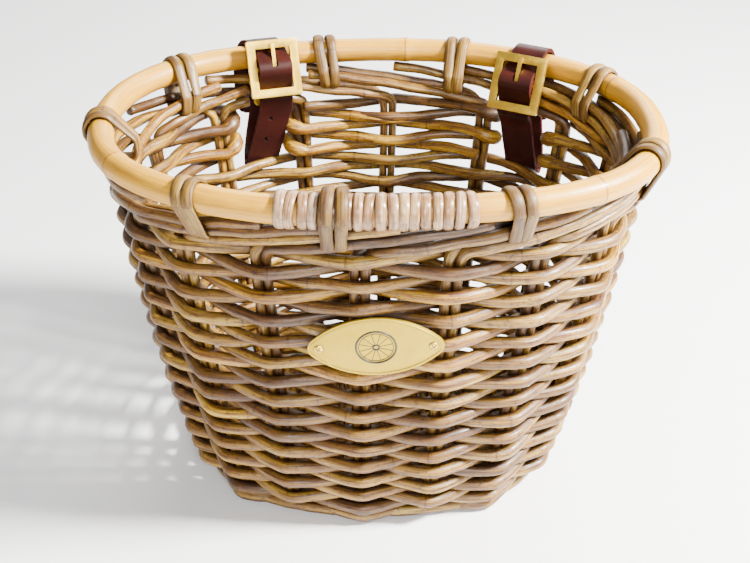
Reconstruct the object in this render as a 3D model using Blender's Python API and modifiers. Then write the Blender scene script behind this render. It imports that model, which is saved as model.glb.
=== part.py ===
"""Woven cane handlebar basket: a flared cane wall on paired stakes, a bent-cane rim lashed
above a border of long rods, and two buckled leather straps that loop the rim and the rear wall.

Metres, +Z up. The front of the basket faces -Y, and the straps are at the rear, +Y.
The origin is on the floor, under the middle of the rim.
"""

from math import atan2, cos, degrees, hypot, pi, radians, sin

import bmesh
import bpy
from mathutils import Matrix, Vector

GAP = 0.0003                      # running gap between touching pieces

# Rim: a bent pole of thick cane
RIM_HALF_LENGTH = 0.1815          # centreline, along X
RIM_HALF_DEPTH = 0.1250           # centreline, along Y
RIM_HEIGHT = 0.26945              # centreline, above the floor
RIM_RADIUS = 0.0086
FRONT_EXPONENT = 2.37             # superellipse exponents: how square the corners are
REAR_EXPONENT = 2.19
RIM_COLUMNS = 72

# Wall: outer surface, flared from the floor up to the rim
WALL_PROUD = 0.003                # how far the full-width wall stands outside the rim centreline
BASE_LENGTH_SHARE = 0.722         # floor outline as a share of the outline at rim height
BASE_DEPTH_SHARE = 0.815
FLARE_POWER = 0.571
WALL_THICKNESS = 0.0205
WALL_BOTTOM = 0.0113
WALL_SEAM = 0.191                 # the strap slots stand on this height
WALL_TOP = 0.238
WALL_COLUMNS = 60
SLOT_SIDE = 0.0115                # slot edge from the middle of the stake pair beside it

# Stakes: pairs of rods that stand in the wall; shares of the way round, from +X towards +Y
STAKE_INSET = 0.011               # middle of the stakes inside the wall's outer surface
STAKE_HALF_WIDTH = 0.0065         # both rods of the pair, along the wall
STAKE_HALF_DEPTH = 0.00315
STAKE_TOP = 0.257
REAR_STAKES = (0.030, 0.086, 0.156, 0.237, 0.311, 0.381, 0.448, 0.527)
FRONT_STAKES = (0.567, 0.612, 0.669, 0.7345, 0.796, 0.857, 0.916, 0.973)
STAKES = REAR_STAKES + FRONT_STAKES
RIGHT_SLOT_STAKES = (0.086, 0.156)
LEFT_SLOT_STAKES = (0.311, 0.381)

# Border rods under the rim
BORDER_RADIUS = 0.0035
BORDER_OFFSET = STAKE_HALF_DEPTH + 2 * GAP + BORDER_RADIUS
BORDER_RODS = (                   # name, outward of the stakes, height
    ("border_rod_outer_upper", BORDER_OFFSET, 0.2545),
    ("border_rod_outer_lower", BORDER_OFFSET, 0.2470),
    ("border_rod_inner", -BORDER_OFFSET, 0.2510),
)

# Lashings that hold the rim to the border, as shares of the way round the rim
TIE_THICKNESS = 0.0027
TIE_CLEARANCE = 0.0010            # room for the curve of the rods across a lashing's width
TIE_HALF_WIDTH = 0.007
TIES = (0.0684, 0.1854, 0.2870, 0.4036, 0.5100, 0.6342, 0.7212, 0.8293, 0.9389)
TIE_ON_BINDING = 0.7212

# Binding over the scarf joint of the rim
BINDING_SPAN = (0.6866, 0.8027)
BINDING_THICKNESS = 0.0024

# Floor of the basket
FOOT_RADIUS = 0.0055
BASE_THICKNESS = 0.011
BASE_STICK_RADIUS = 0.0030
BASE_STICK_ROWS = (-0.060, -0.020, 0.020, 0.060)

# Plate on the front
PLATE_CENTRE = Vector((-0.0025, -0.1244, 0.1733))
PLATE_HALF_LENGTH = 0.0425
PLATE_HALF_HEIGHT = 0.0227
PLATE_END_RADIUS = 0.0085
PLATE_THICKNESS = 0.0014
PLATE_LEAN = radians(3.5)         # top leans out with the wall
PLATE_TURN = radians(2.0)         # right end up
SCREW_SPACING = 0.0715
SCREW_HEAD_RADIUS = 0.0030
SCREW_HEAD_HEIGHT = 0.0013
SCREW_SHANK_RADIUS = 0.0011
SCREW_LENGTH = 0.016

# Leather
LEATHER = 0.0026
LEATHER_CLEARANCE = 0.0012        # from the round rim, which curves away under the strap
STRAP_HALF_WIDTH = 0.0125
STRAP_HOLE_RADIUS = 0.0019
CHAPE_OUT = RIM_RADIUS + LEATHER_CLEARANCE + LEATHER / 2
STRAP_OUT = CHAPE_OUT - LEATHER - GAP
RIVET_HEAD_RADIUS = 0.0045
RIVET_SHANK_RADIUS = 0.0018
RIVET_HEIGHT = 0.2300

# Buckles: frame with a centre bar, leaning in the angle between rim and border
BUCKLE_HALF_WIDTH = 0.0190
BUCKLE_HALF_HEIGHT = 0.02075
BUCKLE_BAR = 0.0060
BUCKLE_HALF_THICKNESS = 0.0022
BUCKLE_LEAN = radians(22.0)
BUCKLE_OFF_RIM = 0.0180           # centre plane of the frame from the rim centreline
CENTRE_BAR_RADIUS = 0.0020
PRONG_RING_INNER = 0.0024
PRONG_RING_OUTER = 0.0045
PRONG_TIP = 0.0195
PRONG_HALF_WIDTH = 0.0016
PRONG_SLOT_HALF_WIDTH = 0.0023

STRAP_ARCH = 0.0054               # clear radius of the strap's arch over the centre bar
PRONG_SLOT_IN_STRAP = (0.0095, 0.00625)      # length, and place above the centre bar
PRONG_SLOT_IN_CHAPE = (0.0120, -0.0010)
SLOT_DEPTH = 0.012
# The strap's way down inside and out under its slot: outward of the rim line, and height
SLOT_PASS = ((-0.0165, 0.2150), (-0.0125, 0.1960), (-0.0100, 0.1880), (-0.0065, 0.1842),
             (-0.0015, 0.1830), (0.0030, 0.1850), (0.0062, 0.1900))
STRAP_OUTSIDE_HEIGHTS = (0.2000, 0.2200, 0.2440)
CHAPE_OUTSIDE_HEIGHTS = (0.2500, 0.2330, 0.2240, 0.2195)
STRAP_HOLE_OUT = -0.018           # middle of the punched holes' cutters, inward of the rim line
# Each side: x of the strap on the rim, how far the centre bar hangs below the tangent point,
# sideways shifts of the strap in its slot, of its outer end, of the rivet and of the chape,
# and the heights of the punched holes
STRAPS = {
    "left": (-0.0812, 0.0105, -0.0115, 0.0015, -0.0070, -0.0125, (0.2265, 0.2080)),
    "right": (0.1140, 0.0165, 0.0060, -0.0030, 0.0015, 0.0055, (0.2185, 0.2000)),
}

UP = Vector((0, 0, 1))
DENSE = 1440                      # points used to measure the way round


def remove_everything():
    for old in list(bpy.data.objects):
        bpy.data.objects.remove(old, do_unlink=True)


def new_collection(name):
    collection = bpy.data.collections.new(name)
    bpy.context.scene.collection.children.link(collection)
    return collection


def material(name, colour, roughness, metallic=0.0):
    made = bpy.data.materials.new(name)
    made.use_nodes = True
    shader = made.node_tree.nodes["Principled BSDF"]
    shader.inputs["Base Color"].default_value = (*colour, 1.0)
    shader.inputs["Roughness"].default_value = roughness
    shader.inputs["Metallic"].default_value = metallic
    return made


# ---------------------------------------------------------------- outlines

def superellipse(half_length, half_depth, angle):
    c, s = cos(angle), sin(angle)
    exponent = REAR_EXPONENT if s >= 0 else FRONT_EXPONENT
    x = half_length * (1 if c >= 0 else -1) * abs(c) ** (2 / exponent)
    y = half_depth * (1 if s >= 0 else -1) * abs(s) ** (2 / exponent)
    return Vector((x, y, 0))


class Outline:
    """A closed superellipse moved outward by a distance, read by the share of the way round."""

    def __init__(self, half_length, half_depth, outward=0.0):
        turns = [2 * pi * i / DENSE for i in range(DENSE)]
        base = [superellipse(half_length, half_depth, a) for a in turns]
        self.points = []
        self.outward = []
        for i, here in enumerate(base):
            along = (base[(i + 1) % DENSE] - base[i - 1]).normalized()
            out = Vector((along.y, -along.x, 0))
            self.points.append(here + out * outward)
            self.outward.append(out)
        self.lengths = [0.0]
        for i in range(DENSE):
            step = (self.points[(i + 1) % DENSE] - self.points[i]).length
            self.lengths.append(self.lengths[-1] + step)
        self.perimeter = self.lengths[-1]

    def at(self, share):
        """Point and outward direction at a share of the way round."""
        wanted = (share % 1.0) * self.perimeter
        low, high = 0, DENSE
        while high - low > 1:
            middle = (low + high) // 2
            if self.lengths[middle] <= wanted:
                low = middle
            else:
                high = middle
        part = (wanted - self.lengths[low]) / (self.lengths[low + 1] - self.lengths[low])
        after = (low + 1) % DENSE
        point = self.points[low].lerp(self.points[after], part)
        return point, self.outward[low].lerp(self.outward[after], part).normalized()

    def offset_from(self, point, out):
        """How far outward of a point this outline crosses the plane that holds out and up."""
        side = out.cross(UP)
        near = [p for p in self.points if (p - point).dot(out) > -0.05]
        crossing = min(near, key=lambda p: abs((p - point).dot(side)))
        return (crossing - point).dot(out)


def wall_outline(height, inset):
    """Outline of the flared wall at a height, this far inside its outer surface."""
    flare = (height / RIM_HEIGHT) ** FLARE_POWER
    length_share = BASE_LENGTH_SHARE + (1 - BASE_LENGTH_SHARE) * flare
    depth_share = BASE_DEPTH_SHARE + (1 - BASE_DEPTH_SHARE) * flare
    half_length = (RIM_HALF_LENGTH + WALL_PROUD) * length_share
    half_depth = (RIM_HALF_DEPTH + WALL_PROUD) * depth_share
    return Outline(half_length, half_depth, -inset)


def span(low, high, count):
    return [low + (high - low) * i / (count - 1) for i in range(count)]


def arc(centre, radius, start, stop, steps):
    """Points on an arc in a plane, angles in degrees."""
    return [(centre[0] + radius * cos(radians(a)), centre[1] + radius * sin(radians(a)))
            for a in span(start, stop, steps)]


# ---------------------------------------------------------------- makers

def put(name, data, look, collection, matrix=None):
    made = bpy.data.objects.new(name, data)
    if look:
        data.materials.append(look)
    if matrix is not None:
        made.matrix_world = matrix
    collection.objects.link(made)
    return made


def sweep_mesh(name, sections, closed=False):
    """A solid through rings of points, each ring with the same number of points."""
    mesh = bmesh.new()
    rings = [[mesh.verts.new(p) for p in ring] for ring in sections]
    size = len(rings[0])
    last = len(rings) if closed else len(rings) - 1
    for i in range(last):
        here, after = rings[i], rings[(i + 1) % len(rings)]
        for j in range(size):
            k = (j + 1) % size
            mesh.faces.new((here[j], here[k], after[k], after[j]))
    if not closed:
        mesh.faces.new(rings[0])
        mesh.faces.new(rings[-1])
    bmesh.ops.recalc_face_normals(mesh, faces=mesh.faces)
    data = bpy.data.meshes.new(name)
    mesh.to_mesh(data)
    mesh.free()
    return data


def rod(name, points, radius, look, collection, closed=False, resolution=2):
    """A round rod through points, as a curve with a bevel."""
    data = bpy.data.curves.new(name, "CURVE")
    data.dimensions = "3D"
    data.bevel_depth = radius
    data.bevel_resolution = resolution
    data.use_fill_caps = not closed
    spline = data.splines.new("POLY")
    spline.points.add(len(points) - 1)
    for place, point in zip(spline.points, points):
        place.co = (*point, 1)
    spline.use_cyclic_u = closed
    return put(name, data, look, collection)


def flat_solid(name, outlines, half_depth, look, collection, matrix):
    """A flat shape with holes, in its own XY plane, thickened both ways along its own Z."""
    data = bpy.data.curves.new(name, "CURVE")
    data.dimensions = "2D"
    data.fill_mode = "BOTH"
    data.extrude = half_depth
    for outline in outlines:
        spline = data.splines.new("POLY")
        spline.points.add(len(outline) - 1)
        for place, (x, y) in zip(spline.points, outline):
            place.co = (x, y, 0, 1)
        spline.use_cyclic_u = True
    return put(name, data, look, collection, matrix)


def turned(name, profile, steps, look, collection, matrix):
    """A turned piece: a profile of radius and height, top to bottom, about its own Z."""
    mesh = bmesh.new()
    points = [mesh.verts.new((r, 0, z)) for r, z in profile]
    for a, b in zip(points, points[1:]):
        mesh.edges.new((a, b))
    data = bpy.data.meshes.new(name)
    mesh.to_mesh(data)
    mesh.free()
    made = put(name, data, look, collection, matrix)
    turn = made.modifiers.new("turn", "SCREW")
    turn.steps = steps
    turn.render_steps = steps
    turn.use_merge_vertices = True
    turn.merge_threshold = 0.00001
    return made


def as_mesh(source, collection):
    """A curve object made a mesh object, its caps welded."""
    bpy.context.view_layer.update()
    evaluated = source.evaluated_get(bpy.context.evaluated_depsgraph_get())
    data = bpy.data.meshes.new_from_object(evaluated)
    mesh = bmesh.new()
    mesh.from_mesh(data)
    bmesh.ops.remove_doubles(mesh, verts=mesh.verts, dist=0.000001)
    mesh.to_mesh(data)
    mesh.free()
    name = source.name
    matrix = source.matrix_world.copy()
    bpy.data.objects.remove(source, do_unlink=True)
    made = bpy.data.objects.new(name, data)
    made.matrix_world = matrix
    collection.objects.link(made)
    return made


def combine(target, operation, *tools):
    """Cut or join with other objects, which stay out of the model."""
    for tool in tools:
        tool.hide_render = True
        tool.display_type = "WIRE"
        change = target.modifiers.new(operation.lower(), "BOOLEAN")
        change.operation = operation
        change.object = tool


def cutter_of_parts(name, parts, collection):
    """One cutter made of several closed pieces: cylinders and boxes placed by matrices.

    A cylinder is ("cylinder", radius, length, matrix), a box is ("box", size, matrix).
    """
    mesh = bmesh.new()
    for part in parts:
        if part[0] == "cylinder":
            bmesh.ops.create_cone(mesh, cap_ends=True, segments=10, radius1=part[1],
                                  radius2=part[1], depth=part[2], matrix=part[3])
        else:
            size = Matrix.Diagonal((*part[1], 1))
            bmesh.ops.create_cube(mesh, size=1.0, matrix=part[2] @ size)
    data = bpy.data.meshes.new(name)
    mesh.to_mesh(data)
    mesh.free()
    return put(name, data, None, collection)


def basis(origin, x_axis, y_axis, z_axis):
    made = Matrix((x_axis, y_axis, z_axis)).transposed().to_4x4()
    made.translation = origin
    return made


def smooth(made, angle=35.0):
    made.data.shade_smooth()
    made.data.set_sharp_from_angle(angle=radians(angle))


# ---------------------------------------------------------------- cane work

def make_rim(look, binding_look, tie_look, parts):
    outline = Outline(RIM_HALF_LENGTH, RIM_HALF_DEPTH)
    lift = UP * RIM_HEIGHT
    ring = [outline.at(i / RIM_COLUMNS)[0] + lift for i in range(RIM_COLUMNS)]
    rod("rim_pole", ring, RIM_RADIUS, look, parts, closed=True, resolution=3)

    covered = [outline.at(share)[0] + lift for share in span(*BINDING_SPAN, 10)]
    inner = RIM_RADIUS + GAP
    sleeve = rod("rim_joint_binding", covered, inner, binding_look, parts, resolution=3)
    sleeve.data.use_fill_caps = False
    wall = sleeve.modifiers.new("wall", "SOLIDIFY")
    wall.thickness = BINDING_THICKNESS
    wall.offset = 1.0

    for number, share in enumerate(TIES, 1):
        bulk = RIM_RADIUS
        if share == TIE_ON_BINDING:
            bulk += GAP + BINDING_THICKNESS
        point, out = outline.at(share)
        discs = [(0.0, RIM_HEIGHT, bulk)]
        for _, offset, height in BORDER_RODS:
            rod_line = wall_outline(height, STAKE_INSET - offset)
            discs.append((rod_line.offset_from(point, out), height, BORDER_RADIUS))
        loops = [hull_outline(discs, TIE_CLEARANCE + TIE_THICKNESS), hull_outline(discs, TIE_CLEARANCE)]
        matrix = basis(point, out, UP, out.cross(UP))
        flat_solid(f"rim_tie_{number}", loops, TIE_HALF_WIDTH, tie_look, parts, matrix)


def hull_outline(discs, clear, count=20):
    """The outline of a band drawn tight round discs, this far clear of them."""
    outline = []
    for i in range(count):
        angle = 2 * pi * i / count
        c, s = cos(angle), sin(angle)
        x, y, r = max(discs, key=lambda d: d[0] * c + d[1] * s + d[2])
        reach = (r + clear) / cos(pi / count)
        outline.append((x + reach * c, y + reach * s))
    return outline


def make_border(look, parts):
    for name, out, height in BORDER_RODS:
        outline = wall_outline(height, STAKE_INSET - out)
        ring = [outline.at(i / 52)[0] + UP * height for i in range(52)]
        rod(name, ring, BORDER_RADIUS, look, parts, closed=True)


def stake_sections(share, grow, reach):
    """Oval sections of a pair of rods, following the flare of the wall."""
    sections = []
    heights = span(WALL_BOTTOM + GAP, STAKE_TOP, 6)
    for height in heights:
        point, out = wall_outline(height, STAKE_INSET).at(share)
        side = UP.cross(out)
        ring = []
        for i in range(8):
            angle = pi / 8 + pi * i / 4
            across = (STAKE_HALF_WIDTH + grow) * max(-1, min(1, cos(angle) / cos(pi / 8)))
            through = (STAKE_HALF_DEPTH + grow) * sin(angle) / sin(3 * pi / 8)
            ring.append(point + UP * height + side * across + out * through)
        sections.append(ring)
    if reach:
        sections.insert(0, [corner - UP * reach for corner in sections[0]])
        sections.append([corner + UP * reach for corner in sections[-1]])
    return sections


def make_stakes(look, parts, cutters):
    """The stakes, and the channels that they stand in, as one cutter."""
    channels = bmesh.new()
    for number, share in enumerate(STAKES, 1):
        name = f"stake_pair_{number:02d}"
        smooth(put(name, sweep_mesh(name, stake_sections(share, 0.0, 0.0)), look, parts))
        channel = sweep_mesh("channel", stake_sections(share, GAP, 0.004))
        channels.from_mesh(channel)
        bpy.data.meshes.remove(channel)
    data = bpy.data.meshes.new("stake_channels")
    channels.to_mesh(data)
    channels.free()
    return put("stake_channels", data, None, cutters)


def wall_mesh(name, low, high, levels, shares, closed):
    """A stretch of wall: the same section swept through shares of the way round."""
    heights = span(low, high, levels)
    outer = [wall_outline(h, 0.0) for h in heights]
    inner = [wall_outline(h, WALL_THICKNESS) for h in heights]
    sections = []
    for share in shares:
        ring = [o.at(share)[0] + UP * h for o, h in zip(outer, heights)]
        ring += [i.at(share)[0] + UP * h for i, h in zip(reversed(inner), reversed(heights))]
        sections.append(ring)
    return sweep_mesh(name, sections, closed)


def make_wall(look, parts, channels, cutters, screw_holes):
    perimeter = wall_outline(WALL_SEAM, STAKE_INSET).perimeter
    side = SLOT_SIDE / perimeter
    ring = [i / WALL_COLUMNS for i in range(WALL_COLUMNS)]
    seam = WALL_SEAM - GAP

    lower = put("weave_lower", wall_mesh("weave_lower", WALL_BOTTOM, seam, 5, ring, True),
                look, parts)
    rear = span(RIGHT_SLOT_STAKES[1] - side, LEFT_SLOT_STAKES[0] + side, 12)
    front = span(LEFT_SLOT_STAKES[1] - side, 1 + RIGHT_SLOT_STAKES[0] + side, 44)
    upper_rear = put("weave_upper_rear",
                     wall_mesh("weave_upper_rear", WALL_SEAM, WALL_TOP, 3, rear, False),
                     look, parts)
    upper_front = put("weave_upper_front",
                      wall_mesh("weave_upper_front", WALL_SEAM, WALL_TOP, 3, front, False),
                      look, parts)

    notches = []
    for low, high in (RIGHT_SLOT_STAKES, LEFT_SLOT_STAKES):
        point, out = wall_outline(WALL_SEAM, STAKE_INSET).at((low + high) / 2)
        matrix = basis(point + out * 0.008 + UP * WALL_SEAM, out.cross(UP), out, UP)
        notches.append(("box", (0.033, 0.021, 0.020), matrix))
    notch = cutter_of_parts("strap_notches", notches, cutters)
    combine(lower, "DIFFERENCE", channels, notch, screw_holes)
    combine(upper_rear, "DIFFERENCE", channels)
    combine(upper_front, "DIFFERENCE", channels)


def make_base(look, stick_look, parts, cutters):
    outline = wall_outline(0.0, 2 * FOOT_RADIUS + GAP)
    floor = []
    for i in range(48):
        point = outline.at(i / 48)[0]
        floor.append((point.x, point.y))
    slab = flat_solid("base_weave", [floor], BASE_THICKNESS / 2, None, cutters,
                      Matrix.Translation(UP * BASE_THICKNESS / 2))
    slab = as_mesh(slab, parts)
    slab.data.materials.append(look)

    foot_line = wall_outline(0.0, FOOT_RADIUS)
    ring = [foot_line.at(i / 48)[0] + UP * FOOT_RADIUS for i in range(48)]
    rod("foot_rod", ring, FOOT_RADIUS - GAP, look, parts, closed=True)

    bores = []
    for number, y in enumerate(BASE_STICK_ROWS, 1):
        reach = min(p[0] for p in floor if p[0] > 0 and abs(p[1]) >= abs(y) - 0.010
                    and abs(p[1]) <= abs(y) + 0.006) - 0.004
        place = Vector((0, y, BASE_THICKNESS / 2))
        ends = [place - Vector((reach, 0, 0)), place + Vector((reach, 0, 0))]
        rod(f"base_stick_{number}", ends, BASE_STICK_RADIUS, stick_look, parts)
        along = Matrix.Translation(place) @ Matrix.Rotation(pi / 2, 4, "Y")
        bores.append(("cylinder", BASE_STICK_RADIUS + 2 * GAP, 0.3, along))
    combine(slab, "DIFFERENCE", cutter_of_parts("base_stick_bores", bores, cutters))


# ---------------------------------------------------------------- plate

def plate_matrix():
    """Plate frame: X along it, Y up it, Z out of the wall."""
    stand = Matrix.Rotation(pi / 2 + PLATE_LEAN, 4, "X")
    turn = Matrix.Rotation(PLATE_TURN, 4, "Z")
    return Matrix.Translation(PLATE_CENTRE) @ stand @ turn


def plate_outline(half_length, half_height, end_radius):
    """A long oval: two wide arcs that run into a small round at each end."""
    end = half_length - end_radius
    rise = half_height - end_radius
    drop = (end ** 2 - rise ** 2) / (2 * rise)
    wide = half_height + drop
    meet = degrees(atan2(drop, end))
    outline = arc((end, 0), end_radius, -meet, meet, 6)
    outline += arc((0, -drop), wide, meet, 180 - meet, 14)[1:-1]
    outline += arc((-end, 0), end_radius, 180 - meet, 180 + meet, 6)
    outline += arc((0, drop), wide, 180 + meet, 360 - meet, 14)[1:-1]
    return outline


def make_plate(look, screw_look, parts, cutters):
    matrix = plate_matrix()
    outline = plate_outline(PLATE_HALF_LENGTH, PLATE_HALF_HEIGHT, PLATE_END_RADIUS)
    holes = []
    for side in (-1, 1):
        centre = (side * SCREW_SPACING / 2, 0)
        holes.append(arc(centre, SCREW_SHANK_RADIUS + GAP, 0, 330, 12))
    flat_solid("badge_plate", [outline, *holes], PLATE_THICKNESS / 2, look, parts, matrix)

    bores = []
    face = PLATE_THICKNESS / 2 + GAP
    for number, side in enumerate((-1, 1), 1):
        at_hole = matrix @ Matrix.Translation((side * SCREW_SPACING / 2, 0, 0))
        tip = -SCREW_LENGTH
        profile = [(0, face + SCREW_HEAD_HEIGHT), (SCREW_HEAD_RADIUS * 0.7, face + SCREW_HEAD_HEIGHT * 0.8),
                   (SCREW_HEAD_RADIUS, face + SCREW_HEAD_HEIGHT * 0.2), (SCREW_HEAD_RADIUS, face),
                   (SCREW_SHANK_RADIUS, face), (SCREW_SHANK_RADIUS, tip + 0.003), (0, tip)]
        smooth(turned(f"badge_screw_{number}", profile, 12, screw_look, parts, at_hole))
        bore = at_hole @ Matrix.Translation((0, 0, -0.010))
        bores.append(("cylinder", SCREW_SHANK_RADIUS + GAP, 0.018, bore))
    return cutter_of_parts("screw_bores", bores, cutters)


# ---------------------------------------------------------------- straps

class StrapPlace:
    """Frame of one strap: sideways along the rim, outward, up; and its buckle's plane."""

    def __init__(self, x, hang):
        angle_share = self.share_of(x)
        self.origin, self.out = Outline(RIM_HALF_LENGTH, RIM_HALF_DEPTH).at(angle_share)
        self.side = self.out.cross(UP)
        c, s = cos(BUCKLE_LEAN), sin(BUCKLE_LEAN)
        self.rise = (s, c)
        self.face = (-c, s)
        self.bar = (self.face[0] * BUCKLE_OFF_RIM - self.rise[0] * hang,
                    RIM_HEIGHT + self.face[1] * BUCKLE_OFF_RIM - self.rise[1] * hang)
        self.hang = hang

    @staticmethod
    def share_of(x):
        """Share of the way round where the rear of the rim has this x."""
        outline = Outline(RIM_HALF_LENGTH, RIM_HALF_DEPTH)
        low, high = 0.0, 0.5
        for _ in range(40):
            middle = (low + high) / 2
            if outline.at(middle)[0].x > x:
                low = middle
            else:
                high = middle
        return low

    def on_buckle(self, along, off):
        """Outward and height of a point given up the buckle's plane and off it."""
        return (self.bar[0] + along * self.rise[0] + off * self.face[0],
                self.bar[1] + along * self.rise[1] + off * self.face[1])

    def world(self, side, out, height):
        return self.origin + self.side * side + self.out * out + UP * height

    def buckle_matrix(self):
        """X sideways, Y up the buckle, Z off its face, at the centre bar."""
        rise = self.out * self.rise[0] + UP * self.rise[1]
        face = self.out * self.face[0] + UP * self.face[1]
        return basis(self.world(0, *self.bar), self.side, rise, face)


def blended(marks, at):
    """Straight-line reading of (position, value) marks with eased steps."""
    if at <= marks[0][0]:
        return marks[0][1]
    for (p0, v0), (p1, v1) in zip(marks, marks[1:]):
        if at <= p1:
            part = (at - p0) / (p1 - p0)
            part = part * part * (3 - 2 * part)
            return v0 + (v1 - v0) * part
    return marks[-1][1]


def belt(name, place, path, shifts, widths, look, parts):
    """A leather strip along a path of (outward, height), with sideways shifts and half widths."""
    lengths = [0.0]
    for a, b in zip(path, path[1:]):
        lengths.append(lengths[-1] + hypot(b[0] - a[0], b[1] - a[1]))
    total = lengths[-1]
    sections = []
    for i, here in enumerate(path):
        before, after = path[max(i - 1, 0)], path[min(i + 1, len(path) - 1)]
        turn = atan2(after[1] - before[1], after[0] - before[0])
        normal = (-sin(turn) * LEATHER / 2, cos(turn) * LEATHER / 2)
        middle = blended(shifts, lengths[i] / total)
        half = blended(widths, lengths[i] / total)
        ring = []
        for sign_side, sign_off in ((-1, -1), (1, -1), (1, 1), (-1, 1)):
            ring.append(place.world(middle + sign_side * half, here[0] + sign_off * normal[0],
                                    here[1] + sign_off * normal[1]))
        sections.append(ring)
    return put(name, sweep_mesh(name, sections), look, parts)


def make_strap(side, leather, brass, parts, cutters):
    x, hang, slot_shift, end_shift, rivet_shift, chape_shift, holes = STRAPS[side]
    place = StrapPlace(x, hang)
    under = -(BUCKLE_HALF_THICKNESS + GAP + LEATHER / 2)
    arch = STRAP_ARCH + LEATHER / 2
    leave = place.on_buckle(-0.0215, under)

    # the long strap: pointed tip, over the centre bar, down inside, out of the slot, up outside
    path = [place.on_buckle(u, under) for u in (0.0195, 0.0170, 0.0140)]
    path += [place.on_buckle(u, w) for u, w in arc((0, 0), arch, 40, 140, 8)]
    path += [place.on_buckle(-0.0140, under), leave]
    path += SLOT_PASS
    path += [(STRAP_OUT, height) for height in STRAP_OUTSIDE_HEIGHTS]
    shifts = [(0.0, 0.0), (0.33, 0.0), (0.62, slot_shift), (1.0, end_shift)]
    widths = [(0.0, 0.0035), (0.075, STRAP_HALF_WIDTH), (1.0, STRAP_HALF_WIDTH)]
    strap = belt(f"strap_{side}", place, path, shifts, widths, leather, parts)

    # the chape: a fold round the centre bar, over the rim, and down outside
    wrap = CENTRE_BAR_RADIUS + 0.0005 + LEATHER / 2
    fold = [place.on_buckle(0.0078, -0.0038), place.on_buckle(0.0058, -0.0022)]
    fold += [place.on_buckle(u, w) for u, w in arc((0, 0), wrap, 10, 250, 10)]
    fold += [place.on_buckle(0.0085, CHAPE_OUT - BUCKLE_OFF_RIM)]
    fold += arc((0, RIM_HEIGHT), CHAPE_OUT, 180 - degrees(BUCKLE_LEAN), 0, 9)
    fold += [(CHAPE_OUT, height) for height in CHAPE_OUTSIDE_HEIGHTS]
    shifts = [(0.0, 0.0), (0.30, 0.0), (0.62, chape_shift), (1.0, chape_shift)]
    widths = [(0.0, STRAP_HALF_WIDTH), (0.955, STRAP_HALF_WIDTH), (1.0, 0.0085)]
    chape = belt(f"strap_{side}_chape", place, fold, shifts, widths, leather, parts)

    buckle = place.buckle_matrix()
    rivet_place = place.world(rivet_shift, (CHAPE_OUT + STRAP_OUT) / 2, RIVET_HEIGHT)
    bore = basis(rivet_place, -place.side, UP, place.out)
    rivet_hole = ("cylinder", RIVET_SHANK_RADIUS + GAP, SLOT_DEPTH, bore)
    length, middle = PRONG_SLOT_IN_STRAP
    cuts = [("box", (2 * PRONG_SLOT_HALF_WIDTH, length, SLOT_DEPTH),
             buckle @ Matrix.Translation((0, middle, SLOT_DEPTH / 4))), rivet_hole]
    for height in holes:
        way_down = (leave[1] - height) / (leave[1] - SLOT_PASS[-1][1])
        shift = slot_shift * blended([(0.0, 0.1), (1.0, 1.0)], way_down)
        hole = basis(place.world(shift, STRAP_HOLE_OUT, height), -place.side, UP, place.out)
        cuts.append(("cylinder", STRAP_HOLE_RADIUS, SLOT_DEPTH * 4 / 3, hole))
    combine(strap, "DIFFERENCE", cutter_of_parts(f"strap_{side}_cuts", cuts, cutters))
    length, middle = PRONG_SLOT_IN_CHAPE
    cuts = [("box", (2 * PRONG_SLOT_HALF_WIDTH, length, SLOT_DEPTH),
             buckle @ Matrix.Translation((0, middle, SLOT_DEPTH / 12))), rivet_hole]
    combine(chape, "DIFFERENCE", cutter_of_parts(f"strap_{side}_chape_cuts", cuts, cutters))

    make_rivet(f"strap_{side}_rivet", bore, brass, parts)
    make_buckle(f"buckle_{side}", buckle, brass, parts, cutters)


def make_rivet(name, matrix, look, parts):
    """Two domed heads on a shank through both layers of leather."""
    inner = -(LEATHER + GAP / 2 + GAP)
    outer = LEATHER + GAP / 2 + GAP
    dome = 0.0012
    profile = [(0, outer + dome), (RIVET_HEAD_RADIUS * 0.7, outer + dome * 0.75),
               (RIVET_HEAD_RADIUS, outer), (RIVET_SHANK_RADIUS, outer),
               (RIVET_SHANK_RADIUS, inner), (RIVET_HEAD_RADIUS, inner),
               (RIVET_HEAD_RADIUS * 0.7, inner - dome * 0.75), (0, inner - dome)]
    smooth(turned(name, profile, 12, look, parts, matrix))


def rounded_rectangle(half_width, half_height, radius):
    corners = []
    for sx, sy, start in ((1, 1, 0), (-1, 1, 90), (-1, -1, 180), (1, -1, 270)):
        centre = (sx * (half_width - radius), sy * (half_height - radius))
        corners += arc(centre, radius, start, start + 90, 4)
    return corners


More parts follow.
